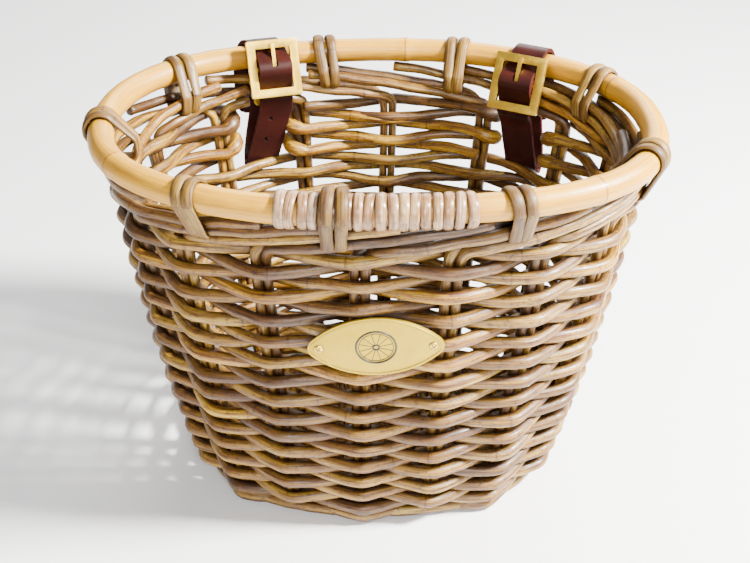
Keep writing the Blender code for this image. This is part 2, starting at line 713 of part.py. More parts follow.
def make_buckle(name, matrix, look, parts, cutters):
    """Frame with its centre bar, and the prong that turns on the bar."""
    outside = rounded_rectangle(BUCKLE_HALF_WIDTH, BUCKLE_HALF_HEIGHT, 0.0018)
    inside = rounded_rectangle(BUCKLE_HALF_WIDTH - BUCKLE_BAR, BUCKLE_HALF_HEIGHT - BUCKLE_BAR, 0.0006)
    frame = flat_solid(f"{name}_frame", [outside, inside], BUCKLE_HALF_THICKNESS, None, cutters, matrix)
    frame = as_mesh(frame, parts)
    frame.data.materials.append(look)
    length = 2 * (BUCKLE_HALF_WIDTH - BUCKLE_BAR / 2)
    along = matrix @ Matrix.Rotation(pi / 2, 4, "Y")
    bar = cutter_of_parts(f"{name}_bar", [("cylinder", CENTRE_BAR_RADIUS, length, along)], cutters)
    combine(frame, "UNION", bar)

    lower = PRONG_RING_OUTER - 0.0020
    meet = (PRONG_RING_OUTER ** 2 - lower ** 2) ** 0.5
    ring = arc((0, 0), PRONG_RING_OUTER, 90, 360 + degrees(atan2(lower, meet)), 16)
    outline = ring + [(PRONG_TIP, lower), (PRONG_TIP + 0.0005, lower + 0.0008),
                      (PRONG_TIP - 0.0008, PRONG_RING_OUTER - 0.0003),
                      (PRONG_TIP - 0.0040, PRONG_RING_OUTER)]
    hole = arc((0, 0), PRONG_RING_INNER, 0, 330, 12)
    turn = Matrix(((0, 0, 1, 0), (1, 0, 0, 0), (0, 1, 0, 0), (0, 0, 0, 1)))
    flat_solid(f"{name}_prong", [outline, hole], PRONG_HALF_WIDTH, look, parts, matrix @ turn)


def main():
    remove_everything()
    parts = new_collection("handlebar_basket")
    cutters = new_collection("cutters")
    pale_cane = material("pale_cane", (0.80, 0.57, 0.28), 0.38)
    grey_binding = material("grey_binding", (0.62, 0.55, 0.46), 0.35)
    tie_cane = material("tie_cane", (0.42, 0.29, 0.14), 0.35)
    woven_cane = material("woven_cane", (0.38, 0.26, 0.14), 0.50)
    leather = material("leather", (0.085, 0.014, 0.008), 0.40)
    brass = material("brass", (0.80, 0.62, 0.28), 0.30, 1.0)

    make_rim(pale_cane, grey_binding, tie_cane, parts)
    make_border(woven_cane, parts)
    channels = make_stakes(woven_cane, parts, cutters)
    screw_holes = make_plate(brass, brass, parts, cutters)
    make_wall(woven_cane, parts, channels, cutters, screw_holes)
    make_base(woven_cane, woven_cane, parts, cutters)
    for side in STRAPS:
        make_strap(side, leather, brass, parts, cutters)


main()
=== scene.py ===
"""Woven cane handlebar basket: the finished look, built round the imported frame.

Metres, +Z up, front of the basket towards -Y, straps at the rear, origin on the floor.
"""

from math import atan2, cos, degrees, pi, radians, sin

import bmesh
import bpy
import numpy as np
from mathutils import Matrix, Vector


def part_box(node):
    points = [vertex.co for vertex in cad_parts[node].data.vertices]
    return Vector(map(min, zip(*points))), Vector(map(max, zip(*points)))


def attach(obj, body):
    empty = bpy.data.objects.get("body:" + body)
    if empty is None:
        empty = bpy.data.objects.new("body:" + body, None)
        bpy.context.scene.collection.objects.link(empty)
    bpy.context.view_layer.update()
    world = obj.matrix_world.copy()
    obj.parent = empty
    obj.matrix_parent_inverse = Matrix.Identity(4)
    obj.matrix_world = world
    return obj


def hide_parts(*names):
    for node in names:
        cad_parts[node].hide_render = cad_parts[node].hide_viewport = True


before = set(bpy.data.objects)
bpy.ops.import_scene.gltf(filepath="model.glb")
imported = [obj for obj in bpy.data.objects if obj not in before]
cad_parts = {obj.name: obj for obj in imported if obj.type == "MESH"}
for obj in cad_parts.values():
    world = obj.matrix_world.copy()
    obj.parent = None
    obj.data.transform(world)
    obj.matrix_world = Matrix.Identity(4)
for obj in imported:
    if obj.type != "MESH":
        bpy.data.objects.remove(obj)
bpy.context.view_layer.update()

UP = Vector((0, 0, 1))
UPWARD = np.array([0.0, 0.0, 1.0])
rng = np.random.default_rng(728)

# Rim
RIM_HALF_LENGTH = 0.1815
RIM_HALF_DEPTH = 0.1250
RIM_HEIGHT = 0.26945
RIM_RADIUS = 0.0086
FRONT_EXPONENT = 2.37
REAR_EXPONENT = 2.19

# Wall
WALL_PROUD = 0.003
BASE_LENGTH_SHARE = 0.722
BASE_DEPTH_SHARE = 0.815
FLARE_POWER = 0.571
STAKE_INSET = 0.011
STAKE_RADIUS = 0.0033
STAKES = (0.030, 0.086, 0.156, 0.237, 0.311, 0.381, 0.448, 0.527,
          0.567, 0.612, 0.669, 0.7345, 0.796, 0.857, 0.916, 0.973)
STAKE_ROUND = np.array([*STAKES, STAKES[0] + 1])
FRONT_CENTRE_STAKE = 11
RIGHT_SLOT_STAKES = (1, 2)
LEFT_SLOT_STAKES = (4, 5)
WALL_TOP = 0.270
WALL_LEVELS = 54                  # heights at which the wall's outline is worked out

# Woven rows
WEAVER_RADIUS = 0.0042
WEAVE_SWING = STAKE_RADIUS + WEAVER_RADIUS - 0.0003
WEAVE_CREST = 0.975               # how pointed a rod's bend over a stake is, up to 1
FOOT_ROW = 0.0055
FIRST_ROW = 0.0142
ROW_PITCH = 0.00755
ROW_GROWTH = 0.0000316            # added to the pitch, row by row
ROWS_BELOW_SLOTS = 21
ROWS = 27
WEAVE_GROUPS = 3                  # meshes that share the closed rows
ROD_STEP = 0.0036                 # between the rings of a rod
TAIL_STEPS = 6                    # by which a rod runs past the stake where the next one begins
TAIL_TAPER = 0.028
TAIL_LIFT = 0.0022
TAIL_TUCK = 0.0012
SHORTEST_ROD = 0.02               # shorter pieces are left out
SLOT_SWELL = 0.42                 # how much thicker a rod is on its turn beside a slot
KNOT_SPACING = 0.171
KNOT_REACH = 0.0030
PAINTED_SHADE_REACH = 0.018             # how far a neighbour darkens a rod with painted shade

# Border of turned-down stakes
BORDER_ROD_RADIUS = 0.0036
BORDER_FOOT = 0.2378
BORDER_RISE = 0.0084              # for each stake that a rod passes
BORDER_REACH = 2.35               # stakes passed by each rod
STAKE_STEP = 1.0 / len(STAKES)
STAKE_HEIGHTS = (0.004, 0.030, 0.080, 0.130, 0.180, 0.222)        # where it stands straight
STAKE_BENDS = 0.2350
BORDER_SPREAD = (0.0062, 0.0069)  # from the stakes' line: at the bend, and further on
# Inner rods that end beside the straps: stake, and share of the way round
INNER_STOPS = {14: 0.113, 15: 0.112, 0: 0.114, 1: 0.110, 2: 0.336, 3: 0.332, 4: 0.337}
BACKWARD_STAKES = (5, 6, 7)       # inner rods that turn the other way, towards the left strap
BACKWARD_STOP = 0.356

# Base
BASE_EXPONENT = 2.3
BASE_STICKS = (-0.060, -0.020, 0.020, 0.060)
BASE_STICK_RADIUS = 0.0030
BASE_ROD_RADIUS = 0.0029
BASE_ROD_PITCH = 0.0066
BASE_SWING = 0.0026
# Foot rods: height, distance outward of the stakes, radius, phase of the sway
FOOT_RODS = ((0.0050, 0.0010, 0.0041, 0.0), (0.0080, -0.0062, 0.0038, 0.3))

# Lashings and binding
TIES = (0.0684, 0.1854, 0.2870, 0.4036, 0.5100, 0.6342, 0.7212, 0.8293, 0.9389)
TIE_ON_BINDING = 0.7212
TIE_SLANTS = (0.0030, -0.0002, 0.0035, -0.0060, -0.0070, -0.0050, 0.0010, -0.0015, 0.0045)
BINDING_SPAN = (0.6866, 0.8027)
BINDING_TURNS = 18
BINDING_FLAT = 0.50
TIE_FLAT = 0.46
TIE_WIDTH = 0.0039
TIE_CLEARANCE = 0.0016            # from the rods to the middle of a strand
TIE_POINTS = 64
BORDER_DISC = 0.0033              # radius of a border rod inside a lashing
BORDER_DISC_OFF = 0.0069

# Leather and buckles
LEATHER = 0.0026
STRAP_HALF_WIDTH = 0.0125
STRAP_HOLE_RADIUS = 0.0019
STRAP_POINT = 0.0130              # length of the pointed end
STRAP_ARCH = 0.0054               # clear radius of the strap's arch over the centre bar
STRAP_SLOT = ((0.0042, 0.0098, 0.012), (0.0, 0.0062, 0.0030))     # size and place on the buckle
CHAPE_SLOT = ((0.0046, 0.0120, 0.0122), (0.0, -0.0010, 0.0010))
# The strap's way down inside and out under its slot: outward of the rim line, and height
STRAP_PASS = ((-0.0200, 0.2300), (-0.0158, 0.2100), (-0.0122, 0.1945), (-0.0098, 0.1880),
              (-0.0060, 0.1843), (-0.0010, 0.1832), (0.0032, 0.1852), (0.0064, 0.1900))
STRAP_OUTSIDE_HEIGHTS = (0.2000, 0.2150, 0.2300, 0.2440)
STRAP_BOTTOM = 0.188              # where the strap reaches its shift in the slot
CHAPE_OUTSIDE_HEIGHTS = (0.2500, 0.2330, 0.2195)
HOLE_DEPTH = 0.016
HOLE_OUT = -0.018                 # middle of a punched hole's cutter, inward of the rim line
BELT_STEP = 0.0016
BELT_COLUMNS = 9
BELT_CORNER = 0.00055
CHAPE_OUT = RIM_RADIUS + 0.0012 + LEATHER / 2
STRAP_OUT = CHAPE_OUT - LEATHER - 0.0003
BUCKLE_HALF_WIDTH = 0.0190
BUCKLE_HALF_HEIGHT = 0.02075
BUCKLE_BAR = 0.0060
BUCKLE_HALF_THICKNESS = 0.0022
BUCKLE_LEAN = radians(22.0)
BUCKLE_OFF_RIM = 0.0180
CENTRE_BAR_RADIUS = 0.0020
PRONG_RING_INNER = 0.0024
PRONG_RING_OUTER = 0.0045
PRONG_TIP = 0.0185
PRONG_HALF_WIDTH = 0.0013
RIVET_HEIGHT = 0.2300
RIVET_HOLE_RADIUS = 0.0019
RIVET_HOLE_DEPTH = 0.012
# Each side: x of the strap on the rim, how far the centre bar hangs below the tangent point,
# sideways shifts of the strap in its slot, of its outer end, of the rivet and of the chape,
# and the heights of the punched holes
STRAPS = {
    "left": (-0.0812, 0.0105, -0.0115, 0.0015, -0.0070, -0.0125, (0.2265, 0.2080)),
    "right": (0.1140, 0.0165, 0.0060, -0.0030, 0.0015, 0.0055, (0.2185, 0.2000)),
}

# Plate
PLATE_CENTRE = Vector((-0.0025, -0.1244, 0.1733))
PLATE_HALF_LENGTH = 0.0425
PLATE_HALF_HEIGHT = 0.0227
PLATE_END_RADIUS = 0.0085
PLATE_THICKNESS = 0.0014
PLATE_LEAN = radians(3.5)
PLATE_TURN = radians(2.0)
PLATE_BEADS = ((0.0013, 0.00030), (0.0022, 0.00018))              # inset, radius
SCREW_SPACING = 0.0715
SCREW_TURN = 35                   # degrees, of the cross in each screw
# Radius of the painted shadow ring round each screw head, and half the length of each arm of the
# painted shade cross in each head's hollow
SCREW_SHADE_RING = 0.0031
SCREW_SHADE_CROSS = 0.0016
WHEEL_RINGS = ((0.0125, 0.00070), (0.0108, 0.00028), (0.0019, 0.00065))    # tyre, rim and hub
WHEEL_SPOKES = 12

# Stage: each light's name, place, size, power and colour
LIGHTS = (("key", (1.10, -0.20, 1.15), 0.24, 190.0, (1.0, 0.98, 0.94)),
          ("front_fill", (0.15, -1.30, 0.95), 0.5, 22.0, (1.0, 0.99, 0.97)),
          ("rear_rim", (0.20, 1.70, 1.30), 1.2, 36.0, (1.0, 0.99, 0.97)))
LIGHTS_AIM = Vector((0, 0, 0.13))
WORLD_STRENGTH = 0.42
CAMERA_AIM = Vector((-0.0010, 0, 0.14005))
CAMERA_DISTANCE = 0.79396
CAMERA_ANGLES = (-1.2, 33.27, 0.63)                # azimuth, elevation and roll, in degrees
CAMERA_LENS = 52.08               # millimetres, on a 36 mm sensor


# ---------------- outlines

def unit(rows):
    return rows / np.linalg.norm(rows, axis=1, keepdims=True)


def reach_along(path):
    """Distances along a path from its start."""
    return np.concatenate([[0], np.cumsum(np.linalg.norm(np.diff(path, axis=0), axis=1))])


def superellipse(half_length, half_depth, count=1440):
    """Points round a superellipse and the outward directions there, by share of the way round."""
    angle = np.linspace(0, 2 * pi, count, endpoint=False)
    c, s = np.cos(angle), np.sin(angle)
    power = 2 / np.where(s >= 0, REAR_EXPONENT, FRONT_EXPONENT)
    points = np.stack([half_length * np.sign(c) * np.abs(c) ** power,
                       half_depth * np.sign(s) * np.abs(s) ** power], axis=1)
    along = unit(np.roll(points, -1, axis=0) - np.roll(points, 1, axis=0))
    return points, np.stack([along[:, 1], -along[:, 0]], axis=1)


def by_share(points, outward, count=720):
    """The same outline at even shares of the way round, with the first point repeated last."""
    closed, out_closed = (np.vstack([line, line[:1]]) for line in (points, outward))
    steps = np.linalg.norm(np.diff(closed, axis=0), axis=1)
    share = np.concatenate([[0], np.cumsum(steps)]) / steps.sum()
    wanted = np.linspace(0, 1, count + 1)
    at, out = (np.stack([np.interp(wanted, share, column) for column in line.T], axis=1)
               for line in (closed, out_closed))
    return at, unit(out), steps.sum()


class Wall:
    """The line of the stakes at every height, read by share of the way round."""

    def __init__(self):
        self.heights = np.linspace(0.0, WALL_TOP, WALL_LEVELS)
        levels = []
        for height in self.heights:
            flare = (height / RIM_HEIGHT) ** FLARE_POWER
            size = [(half + WALL_PROUD) * (share + (1 - share) * flare) for half, share in
                    ((RIM_HALF_LENGTH, BASE_LENGTH_SHARE), (RIM_HALF_DEPTH, BASE_DEPTH_SHARE))]
            points, outward = superellipse(*size)
            levels.append(by_share(points - outward * STAKE_INSET, outward))
        self.lines, self.outs = (np.array(tables) for tables in list(zip(*levels))[:2])
        self.around = self.lines.shape[1] - 1
        self.length = levels[-1][2]

    def read(self, table, share, height):
        level = np.clip(height / self.heights[-1], 0, 0.9999) * (len(self.heights) - 1)
        low = level.astype(int)
        up = (level - low)[:, None]
        turn = (share % 1.0) * self.around
        left = np.minimum(turn.astype(int), self.around - 1)
        part = (turn - left)[:, None]
        below, above = (table[level, left] * (1 - part) + table[level, left + 1] * part
                        for level in (low, low + 1))
        return below * (1 - up) + above * up

    def at(self, share, height, offset):
        """Points at shares, heights and distances outward of the stakes."""
        share, height, offset = np.broadcast_arrays(np.atleast_1d(share) * 1.0, height, offset)
        flat, out = (self.read(table, share, height) for table in (self.lines, self.outs))
        return np.column_stack([flat + out * offset[:, None], height])

    def outward(self, share, height):
        share, height = np.broadcast_arrays(np.atleast_1d(share) * 1.0, height)
        out = self.read(self.outs, share, height)
        return np.column_stack([out, np.zeros(len(out))])


WALL = Wall()
RIM_LINE, RIM_OUT, RIM_LENGTH = by_share(*superellipse(RIM_HALF_LENGTH, RIM_HALF_DEPTH))


def rim_at(share):
    """Rim centreline points and outward directions at shares of the way round."""
    turn = (np.atleast_1d(share) % 1.0) * (len(RIM_LINE) - 1)
    left = np.minimum(turn.astype(int), len(RIM_LINE) - 2)
    part = (turn - left)[:, None]
    return [np.column_stack([table[left] * (1 - part) + table[left + 1] * part,
                             np.full(len(turn), height)])
            for table, height in ((RIM_LINE, RIM_HEIGHT), (RIM_OUT, 0.0))]


def smooth_path(points, step):
    """An even walk, in steps of about this length, along a Catmull-Rom curve through points."""
    p = np.asarray(points, float)
    p = np.vstack([2 * p[0] - p[1], p, 2 * p[-1] - p[-2]])
    t = np.linspace(0, 1, 12, endpoint=False)[:, None]
    pieces = []
    for a, b, c, d in zip(p, p[1:], p[2:], p[3:]):
        pieces.append(0.5 * (2 * b + (c - a) * t + (2 * a - 5 * b + 4 * c - d) * t ** 2
                             + (3 * b - a - 3 * c + d) * t ** 3))
    dense = np.vstack([*pieces, p[-2:-1]])
    reach = reach_along(dense)
    wanted = np.linspace(0, reach[-1], max(int(reach[-1] / step), 2) + 1)
    return np.stack([np.interp(wanted, reach, column) for column in dense.T], axis=1)


# ---------------- rods

class Bundle:
    """Rods gathered into one mesh, with the values that their material reads.

    grain is the place on the rod (along it, and round it), and tone its own shade from 0 to 1.
    """

    def __init__(self):
        self.verts, self.faces, self.grain, self.tone = [], [], [], []
        self.count = 0

    def rod(self, path, radius, tone, facing=None, flat=1.0, sides=12, closed=False,
            knots=True, taper=(0.0, 0.0), rough=0.035):
        """One rod along a path. flat is its thickness towards facing, as a share of its width.

        taper holds the lengths that thin towards its two ends, and rough is how uneven it is.
        """
        path = np.asarray(path, float)
        size = len(path)
        if closed:
            along = np.roll(path, -1, axis=0) - np.roll(path, 1, axis=0)
        else:
            along = np.gradient(path, axis=0)
        along = unit(along)
        if facing is None:
            facing = np.tile(UPWARD, (size, 1))
        up = unit(facing - (facing * along).sum(1, keepdims=True) * along)
        side = np.cross(along, up)

        reach = reach_along(path)
        start = rng.uniform(0, 50)
        width = np.full(size, radius, float) if np.isscalar(radius) else np.array(radius, float)
        for wave, share in ((0.045, 1.0), (0.016, 0.6)):
            width *= 1 + rough * share * np.sin(reach * 2 * pi / wave + rng.uniform(0, 6.28))
        if knots:
            turn = (reach + start) / KNOT_SPACING
            away = np.abs(turn - np.round(turn)) * KNOT_SPACING
            width *= 1 + 0.06 * np.exp(-(away / KNOT_REACH) ** 2)
        for way, length in ((reach, taper[0]), (reach[-1] - reach, taper[1])):
            if length:
                width *= 0.30 + 0.70 * np.clip(way / length, 0, 1) ** 0.6

        angle = np.linspace(0, 2 * pi, sides, endpoint=False) + pi / sides
        c, s = np.cos(angle), np.sin(angle)
        if not closed:                # a chamfer round each cut end
            start_cap, end_cap = (path[k] + way * along[k] * width[k] * 0.18
                                  for k, way in ((0, -1), (-1, 1)))
            path = np.vstack([start_cap, path, end_cap])
            side, up = (np.vstack([rows[:1], rows, rows[-1:]]) for rows in (side, up))
            width = np.concatenate([width[:1] * 0.80, width, width[-1:] * 0.80])
            reach = np.concatenate([reach[:1], reach, reach[-1:]])
            size += 2
        ring = (side[:, None, :] * c[None, :, None] + flat * up[:, None, :] * s[None, :, None])
        grain = np.empty((size, sides, 3))
        grain[:, :, 0] = reach[:, None] + start
        grain[:, :, 1] = c * width[:, None] + start
        grain[:, :, 2] = s * width[:, None]
        self.verts.append((path[:, None, :] + ring * width[:, None, None]).reshape(-1, 3))
        self.grain.append(grain.reshape(-1, 3))
        self.tone.append(np.full(size * sides, tone))

        i = np.arange(size if closed else size - 1)[:, None]
        j = np.arange(sides)
        after, beside = (i + 1) % size, (j + 1) % sides
        quads = np.stack([i * sides + j, i * sides + beside,
                          after * sides + beside, after * sides + j], axis=-1)
        self.faces += (quads.reshape(-1, 4) + self.count).tolist()
        if not closed:
            last = self.count + (size - 1) * sides
            self.faces += [list(range(self.count, self.count + sides))[::-1],
                           list(range(last, last + sides))]
        self.count += size * sides

    def make(self, name, look, slot, *replaced):
        data = bpy.data.meshes.new(name)
        data.from_pydata(np.vstack(self.verts).tolist(), [], self.faces)
        for label, kind, key, values in (
                ("grain", "FLOAT_VECTOR", "vector", np.vstack(self.grain)),
                ("tone", "FLOAT", "value", np.concatenate(self.tone))):
            layer = data.attributes.new(label, kind, "POINT")
            layer.data.foreach_set(key, values.astype(np.float32).ravel())
        finish_piece(name, smoothed(data, 50), look, replaced)


def smoothed(data, sharp_from):
    """Shades a mesh smooth, apart from edges that turn by more than this many degrees."""
    data.shade_smooth()
    data.set_sharp_from_angle(angle=radians(sharp_from))
    return data


def mesh_from(made, name):
    """Turns a bmesh into mesh data, and frees it."""
    data = bpy.data.meshes.new(name)
    made.to_mesh(data)
    made.free()
    return data


def in_scene(name, data):
    made = bpy.data.objects.new(name, data)
    bpy.context.scene.collection.objects.link(made)
    return made


def finish_piece(name, data, look, replaced, body="basket", matrix=None):
    """Puts a mesh in the scene with its material and body, and hides the nodes that it stands for."""
    made = in_scene(name, data)
    if matrix is not None:
        made.matrix_world = matrix
    data.materials.append(look)
    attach(made, body)
    if replaced:
        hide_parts(*replaced)


# ---------------- materials

class Nodes:
    """A material's node tree, built by short calls."""

    def __init__(self, name):
        self.material = bpy.data.materials.new(name)
        self.material.use_nodes = True
        self.tree = self.material.node_tree
        self.shader = self.tree.nodes["Principled BSDF"]

    def fill(self, socket, value):
        """Gives a socket a number, a colour or another node's output."""
        if isinstance(value, (int, float)):
            socket.default_value = value
        elif isinstance(value, tuple):
            socket.default_value = (*value, 1)[:len(socket.default_value)]
        else:
            self.tree.links.new(value, socket)

    def node(self, kind, inputs=None, **settings):
        """A node with its settings, and its inputs filled by name or by number."""
        made = self.tree.nodes.new(kind)
        for key, value in settings.items():
            setattr(made, key, value)
        for key, value in (inputs or {}).items():
            named = (socket for socket in made.inputs if socket.name == key and socket.enabled)
            self.fill(made.inputs[key] if isinstance(key, int) else next(named), value)
        return made

    def attribute(self, name, output="Fac"):
        return self.node("ShaderNodeAttribute", attribute_name=name).outputs[output]

    def scaled(self, vector, scale):
        return self.node("ShaderNodeMapping", {"Scale": scale, "Vector": vector}).outputs["Vector"]

    def noise(self, vector, scale, detail=3.0, roughness=0.55):
        inputs = {"Scale": 1.0, "Detail": detail, "Roughness": roughness,
                  "Vector": self.scaled(vector, scale)}
        return self.node("ShaderNodeTexNoise", inputs).outputs["Fac"]

    def spots(self, vector, scale):
        inputs = {"Scale": 1.0, "Vector": self.scaled(vector, scale)}
        return self.node("ShaderNodeTexVoronoi", inputs).outputs["Distance"]

    def math(self, operation, *values):
        return self.node("ShaderNodeMath", dict(enumerate(values)), operation=operation).outputs[0]

    def rings(self, grain):
        """Thin rings at the leaf nodes, KNOT_SPACING apart."""
        along = self.node("ShaderNodeSeparateXYZ", {0: grain}).outputs["X"]
        away = self.math("PINGPONG", self.math("DIVIDE", along, KNOT_SPACING), 0.5)
        ragged = self.sum((self.noise(grain, (200, 700, 700), detail=1), 0.006), (away, 1.0))
        return self.ramp(ragged, ((0.0045, 0.85), (0.0085, 0.0)))

    def ramp(self, value, stops):
        """Colours or greys by value, each stop as (value, colour or grey)."""
        made = self.node("ShaderNodeValToRGB", {"Fac": value})
        marks = made.color_ramp.elements
        while len(marks) < len(stops):
            marks.new(0.5)
        for mark, (place, colour) in zip(marks, stops):
            mark.position = place
            mark.color = (*(colour if isinstance(colour, tuple) else (colour,) * 3), 1)
        return made.outputs["Color"]

    def mix(self, factor, first, second, blend="MIX"):
        made = self.node("ShaderNodeMix", data_type="RGBA", blend_type=blend)
        for key, value in (("Factor", factor), ("A", first), ("B", second)):
            self.fill(next(s for s in made.inputs if s.name == key and s.enabled), value)
        return next(s for s in made.outputs if s.enabled)

    def sum(self, *terms):
        """A weighted sum of values, each term as (value, weight)."""
        total = 0.0
        for value, weight in terms:
            total = self.math("MULTIPLY_ADD", value, weight, total)
        return total

    def bump(self, height, distance, strength=1.0):
        inputs = {"Distance": distance, "Strength": strength, "Height": height}
        return self.node("ShaderNodeBump", inputs).outputs["Normal"]

    def finish(self, colour, roughness, more=None):
        """Fills the shader's colour and roughness, and more of its inputs by name."""
        inputs = {"Base Color": colour, "Roughness": roughness, **(more or {})}
        for name, value in inputs.items():
            self.fill(self.shader.inputs[name], value)
        return self.material


def cane_material(name, shades, speck, depth, roughness, coat, flecks=1.0, relief=0.6):
    """Cane: shade by rod, long fibres, drifting patches, dark specks, leaf-node rings, and painted
    shade where other rods and parts come close.
    """
    n = Nodes(name)
    grain = n.attribute("grain", "Vector")
    base = n.ramp(n.attribute("tone"), shades)
    drift = n.noise(grain, (24, 110, 110), detail=4, roughness=0.6)
    fibre = n.noise(grain, (40, 1150, 1150), detail=3, roughness=0.6)
    stripe = n.noise(grain, (13, 430, 430), detail=2)
    mottle = n.noise(grain, (260, 420, 420), detail=4, roughness=0.65)

    def darker(colour, factor, shade):
        return n.mix(factor, colour, n.mix(1.0, colour, shade, "MULTIPLY"))

    colour = darker(base, n.ramp(drift, ((0.38, 0.0), (0.66, depth))), (0.60, 0.46, 0.32))
    colour = darker(colour, n.ramp(stripe, ((0.38, depth), (0.56, 0.0))), (0.50, 0.39, 0.26))
    colour = n.mix(n.ramp(stripe, ((0.58, 0.0), (0.74, depth * 0.45))), colour,
                   n.mix(1.0, colour, (1.0, 0.93, 0.80), "SOFT_LIGHT"))
    colour = darker(colour, n.ramp(fibre, ((0.38, depth), (0.53, 0.0))), (0.36, 0.25, 0.15))
    mottled = n.ramp(mottle, ((0.53, 0.0), (0.66, depth * 0.9 * flecks)))
    colour = darker(colour, mottled, (0.38, 0.26, 0.16))
    dots = n.ramp(n.spots(grain, (330, 620, 620)), ((0.14, 1.0), (0.30, 0.0)))
    where = n.ramp(n.noise(grain, (38, 150, 150), detail=2), ((0.50, 0.0), (0.60, flecks)))
    colour = n.mix(n.mix(1.0, dots, where, "MULTIPLY"), colour, speck)
    colour = darker(colour, n.rings(grain), (0.34, 0.24, 0.16))
    # Painted shade: ambient occlusion darkens the colour where other rods and parts come close,
    # standing in for the shade between them.
    near = n.node("ShaderNodeAmbientOcclusion", {"Distance": PAINTED_SHADE_REACH}, samples=6)
    painted_crevice_shade = n.ramp(near.outputs["AO"], ((0.15, 0.98), (0.80, 0.0)))
    colour = darker(colour, painted_crevice_shade, (0.13, 0.08, 0.045))
    height = n.sum((fibre, 0.55), (stripe, 0.40), (mottle, 0.12), (dots, -0.15))
    rough = n.ramp(drift, ((0.3, roughness - 0.07), (0.7, roughness + 0.12)))
    return n.finish(colour, rough, {"Normal": n.bump(height, 0.00055, relief),
                                    "Coat Weight": coat, "Coat Roughness": 0.14})


WOVEN = cane_material(
    "woven_cane",
    ((0.00, (0.090, 0.038, 0.004)), (0.20, (0.190, 0.092, 0.010)), (0.42, (0.350, 0.195, 0.018)),
     (0.60, (0.460, 0.292, 0.030)), (0.72, (0.430, 0.272, 0.068)), (0.86, (0.500, 0.260, 0.010)),
     (1.00, (0.590, 0.380, 0.020))),
    (0.025, 0.010, 0.003), 0.98, 0.42, 0.12, relief=1.0)
PALE = cane_material(
    "pale_cane",
    ((0.0, (0.66, 0.320, 0.004)), (1.0, (0.71, 0.365, 0.008))),
    (0.40, 0.17, 0.02), 0.28, 0.40, 0.08, flecks=0.20, relief=0.18)
BINDING = cane_material(
    "grey_binding",
    ((0.0, (0.36, 0.20, 0.08)), (0.4, (0.52, 0.33, 0.17)), (0.7, (0.58, 0.41, 0.28)),
     (1.0, (0.52, 0.32, 0.13))),
    (0.22, 0.12, 0.06), 0.75, 0.30, 0.30, flecks=0.6, relief=0.8)
TIE = cane_material(
    "tie_cane",
    ((0.0, (0.150, 0.078, 0.006)), (0.5, (0.260, 0.148, 0.012)), (1.0, (0.35, 0.212, 0.022))),
    (0.05, 0.022, 0.006), 0.85, 0.50, 0.04, flecks=0.7, relief=0.9)


def leather_material():
    n = Nodes("strap_leather")
    place = n.node("ShaderNodeTexCoord").outputs["Object"]
    pores = n.spots(place, (1500, 1500, 1500))
    grain = n.noise(place, (900, 900, 900), detail=4, roughness=0.6)
    drift = n.noise(place, (60, 60, 60), detail=3)
    colour = n.ramp(drift, ((0.30, (0.016, 0.0016, 0.0005)), (0.70, (0.030, 0.0030, 0.0010))))
    edge = n.attribute("edge")
    colour = n.mix(n.ramp(edge, ((0.4, 0.0), (0.9, 0.85))), colour, (0.050, 0.009, 0.005))
    cut_edge = n.ramp(edge, ((0.4, 0.0), (0.9, 1.0)))
    rough = n.mix(cut_edge, n.ramp(grain, ((0.3, 0.38), (0.7, 0.52))), (0.85, 0.85, 0.85))
    return n.finish(colour, rough, {
        "Normal": n.bump(n.sum((grain, 0.5), (pores, 0.35)), 0.00012, 0.6),
        "Specular IOR Level": n.ramp(edge, ((0.4, 0.24), (0.9, 0.04))),
        "Coat Weight": n.ramp(edge, ((0.4, 0.06), (0.9, 0.0))),
        "Coat Roughness": 0.22, "Sheen Weight": 0.02, "Sheen Tint": (0.8, 0.6, 0.7)})


def enamel_and_shade_material():
    # Dark enamel for the plate's wheel, and also for the painted shade round and in the screw heads
    n = Nodes("dark_enamel_and_painted_shade")
    place = n.node("ShaderNodeTexCoord").outputs["Object"]
    worn = n.noise(place, (900, 900, 900), detail=3)
    colour = n.ramp(worn, ((0.35, (0.020, 0.016, 0.012)), (0.75, (0.060, 0.045, 0.025))))
    return n.finish(colour, 0.38)


def brass_material(name, fresh, tarnish, amount, roughness):
    n = Nodes(name)
    place = n.node("ShaderNodeTexCoord").outputs["Object"]
    drift = n.noise(place, (70, 70, 70), detail=5, roughness=0.65)
    brushed = n.noise(place, (300, 1800, 1800), detail=3)
    pits = n.ramp(n.spots(place, (260, 260, 260)), ((0.06, 1.0), (0.13, 0.0)))
    where = n.ramp(n.noise(place, (130, 130, 130), detail=2), ((0.56, 0.0), (0.66, 1.0)))
    colour = n.mix(n.ramp(drift, ((0.42, 0.0), (0.72, amount))), fresh, tarnish)
    colour = n.mix(n.mix(1.0, pits, where, "MULTIPLY"), colour, (0.30, 0.16, 0.045))
    height = n.sum((brushed, 0.4), (drift, 0.25), (pits, -0.10))
    rough = n.ramp(brushed, ((0.3, roughness - 0.05), (0.7, roughness + 0.09)))
    return n.finish(colour, rough, {"Normal": n.bump(height, 0.00006, 0.25), "Metallic": 1.0})


LEATHER_LOOK = leather_material()
BRASS = brass_material("buckle_brass", (0.88, 0.58, 0.060), (0.42, 0.23, 0.018), 0.70, 0.40)
DARK_ENAMEL_AND_SHADE = enamel_and_shade_material()
PLATE_BRASS = brass_material("plate_brass", (0.50, 0.350, 0.028), (0.39, 0.245, 0.016), 0.60, 0.42)


# ---------------- the woven wall

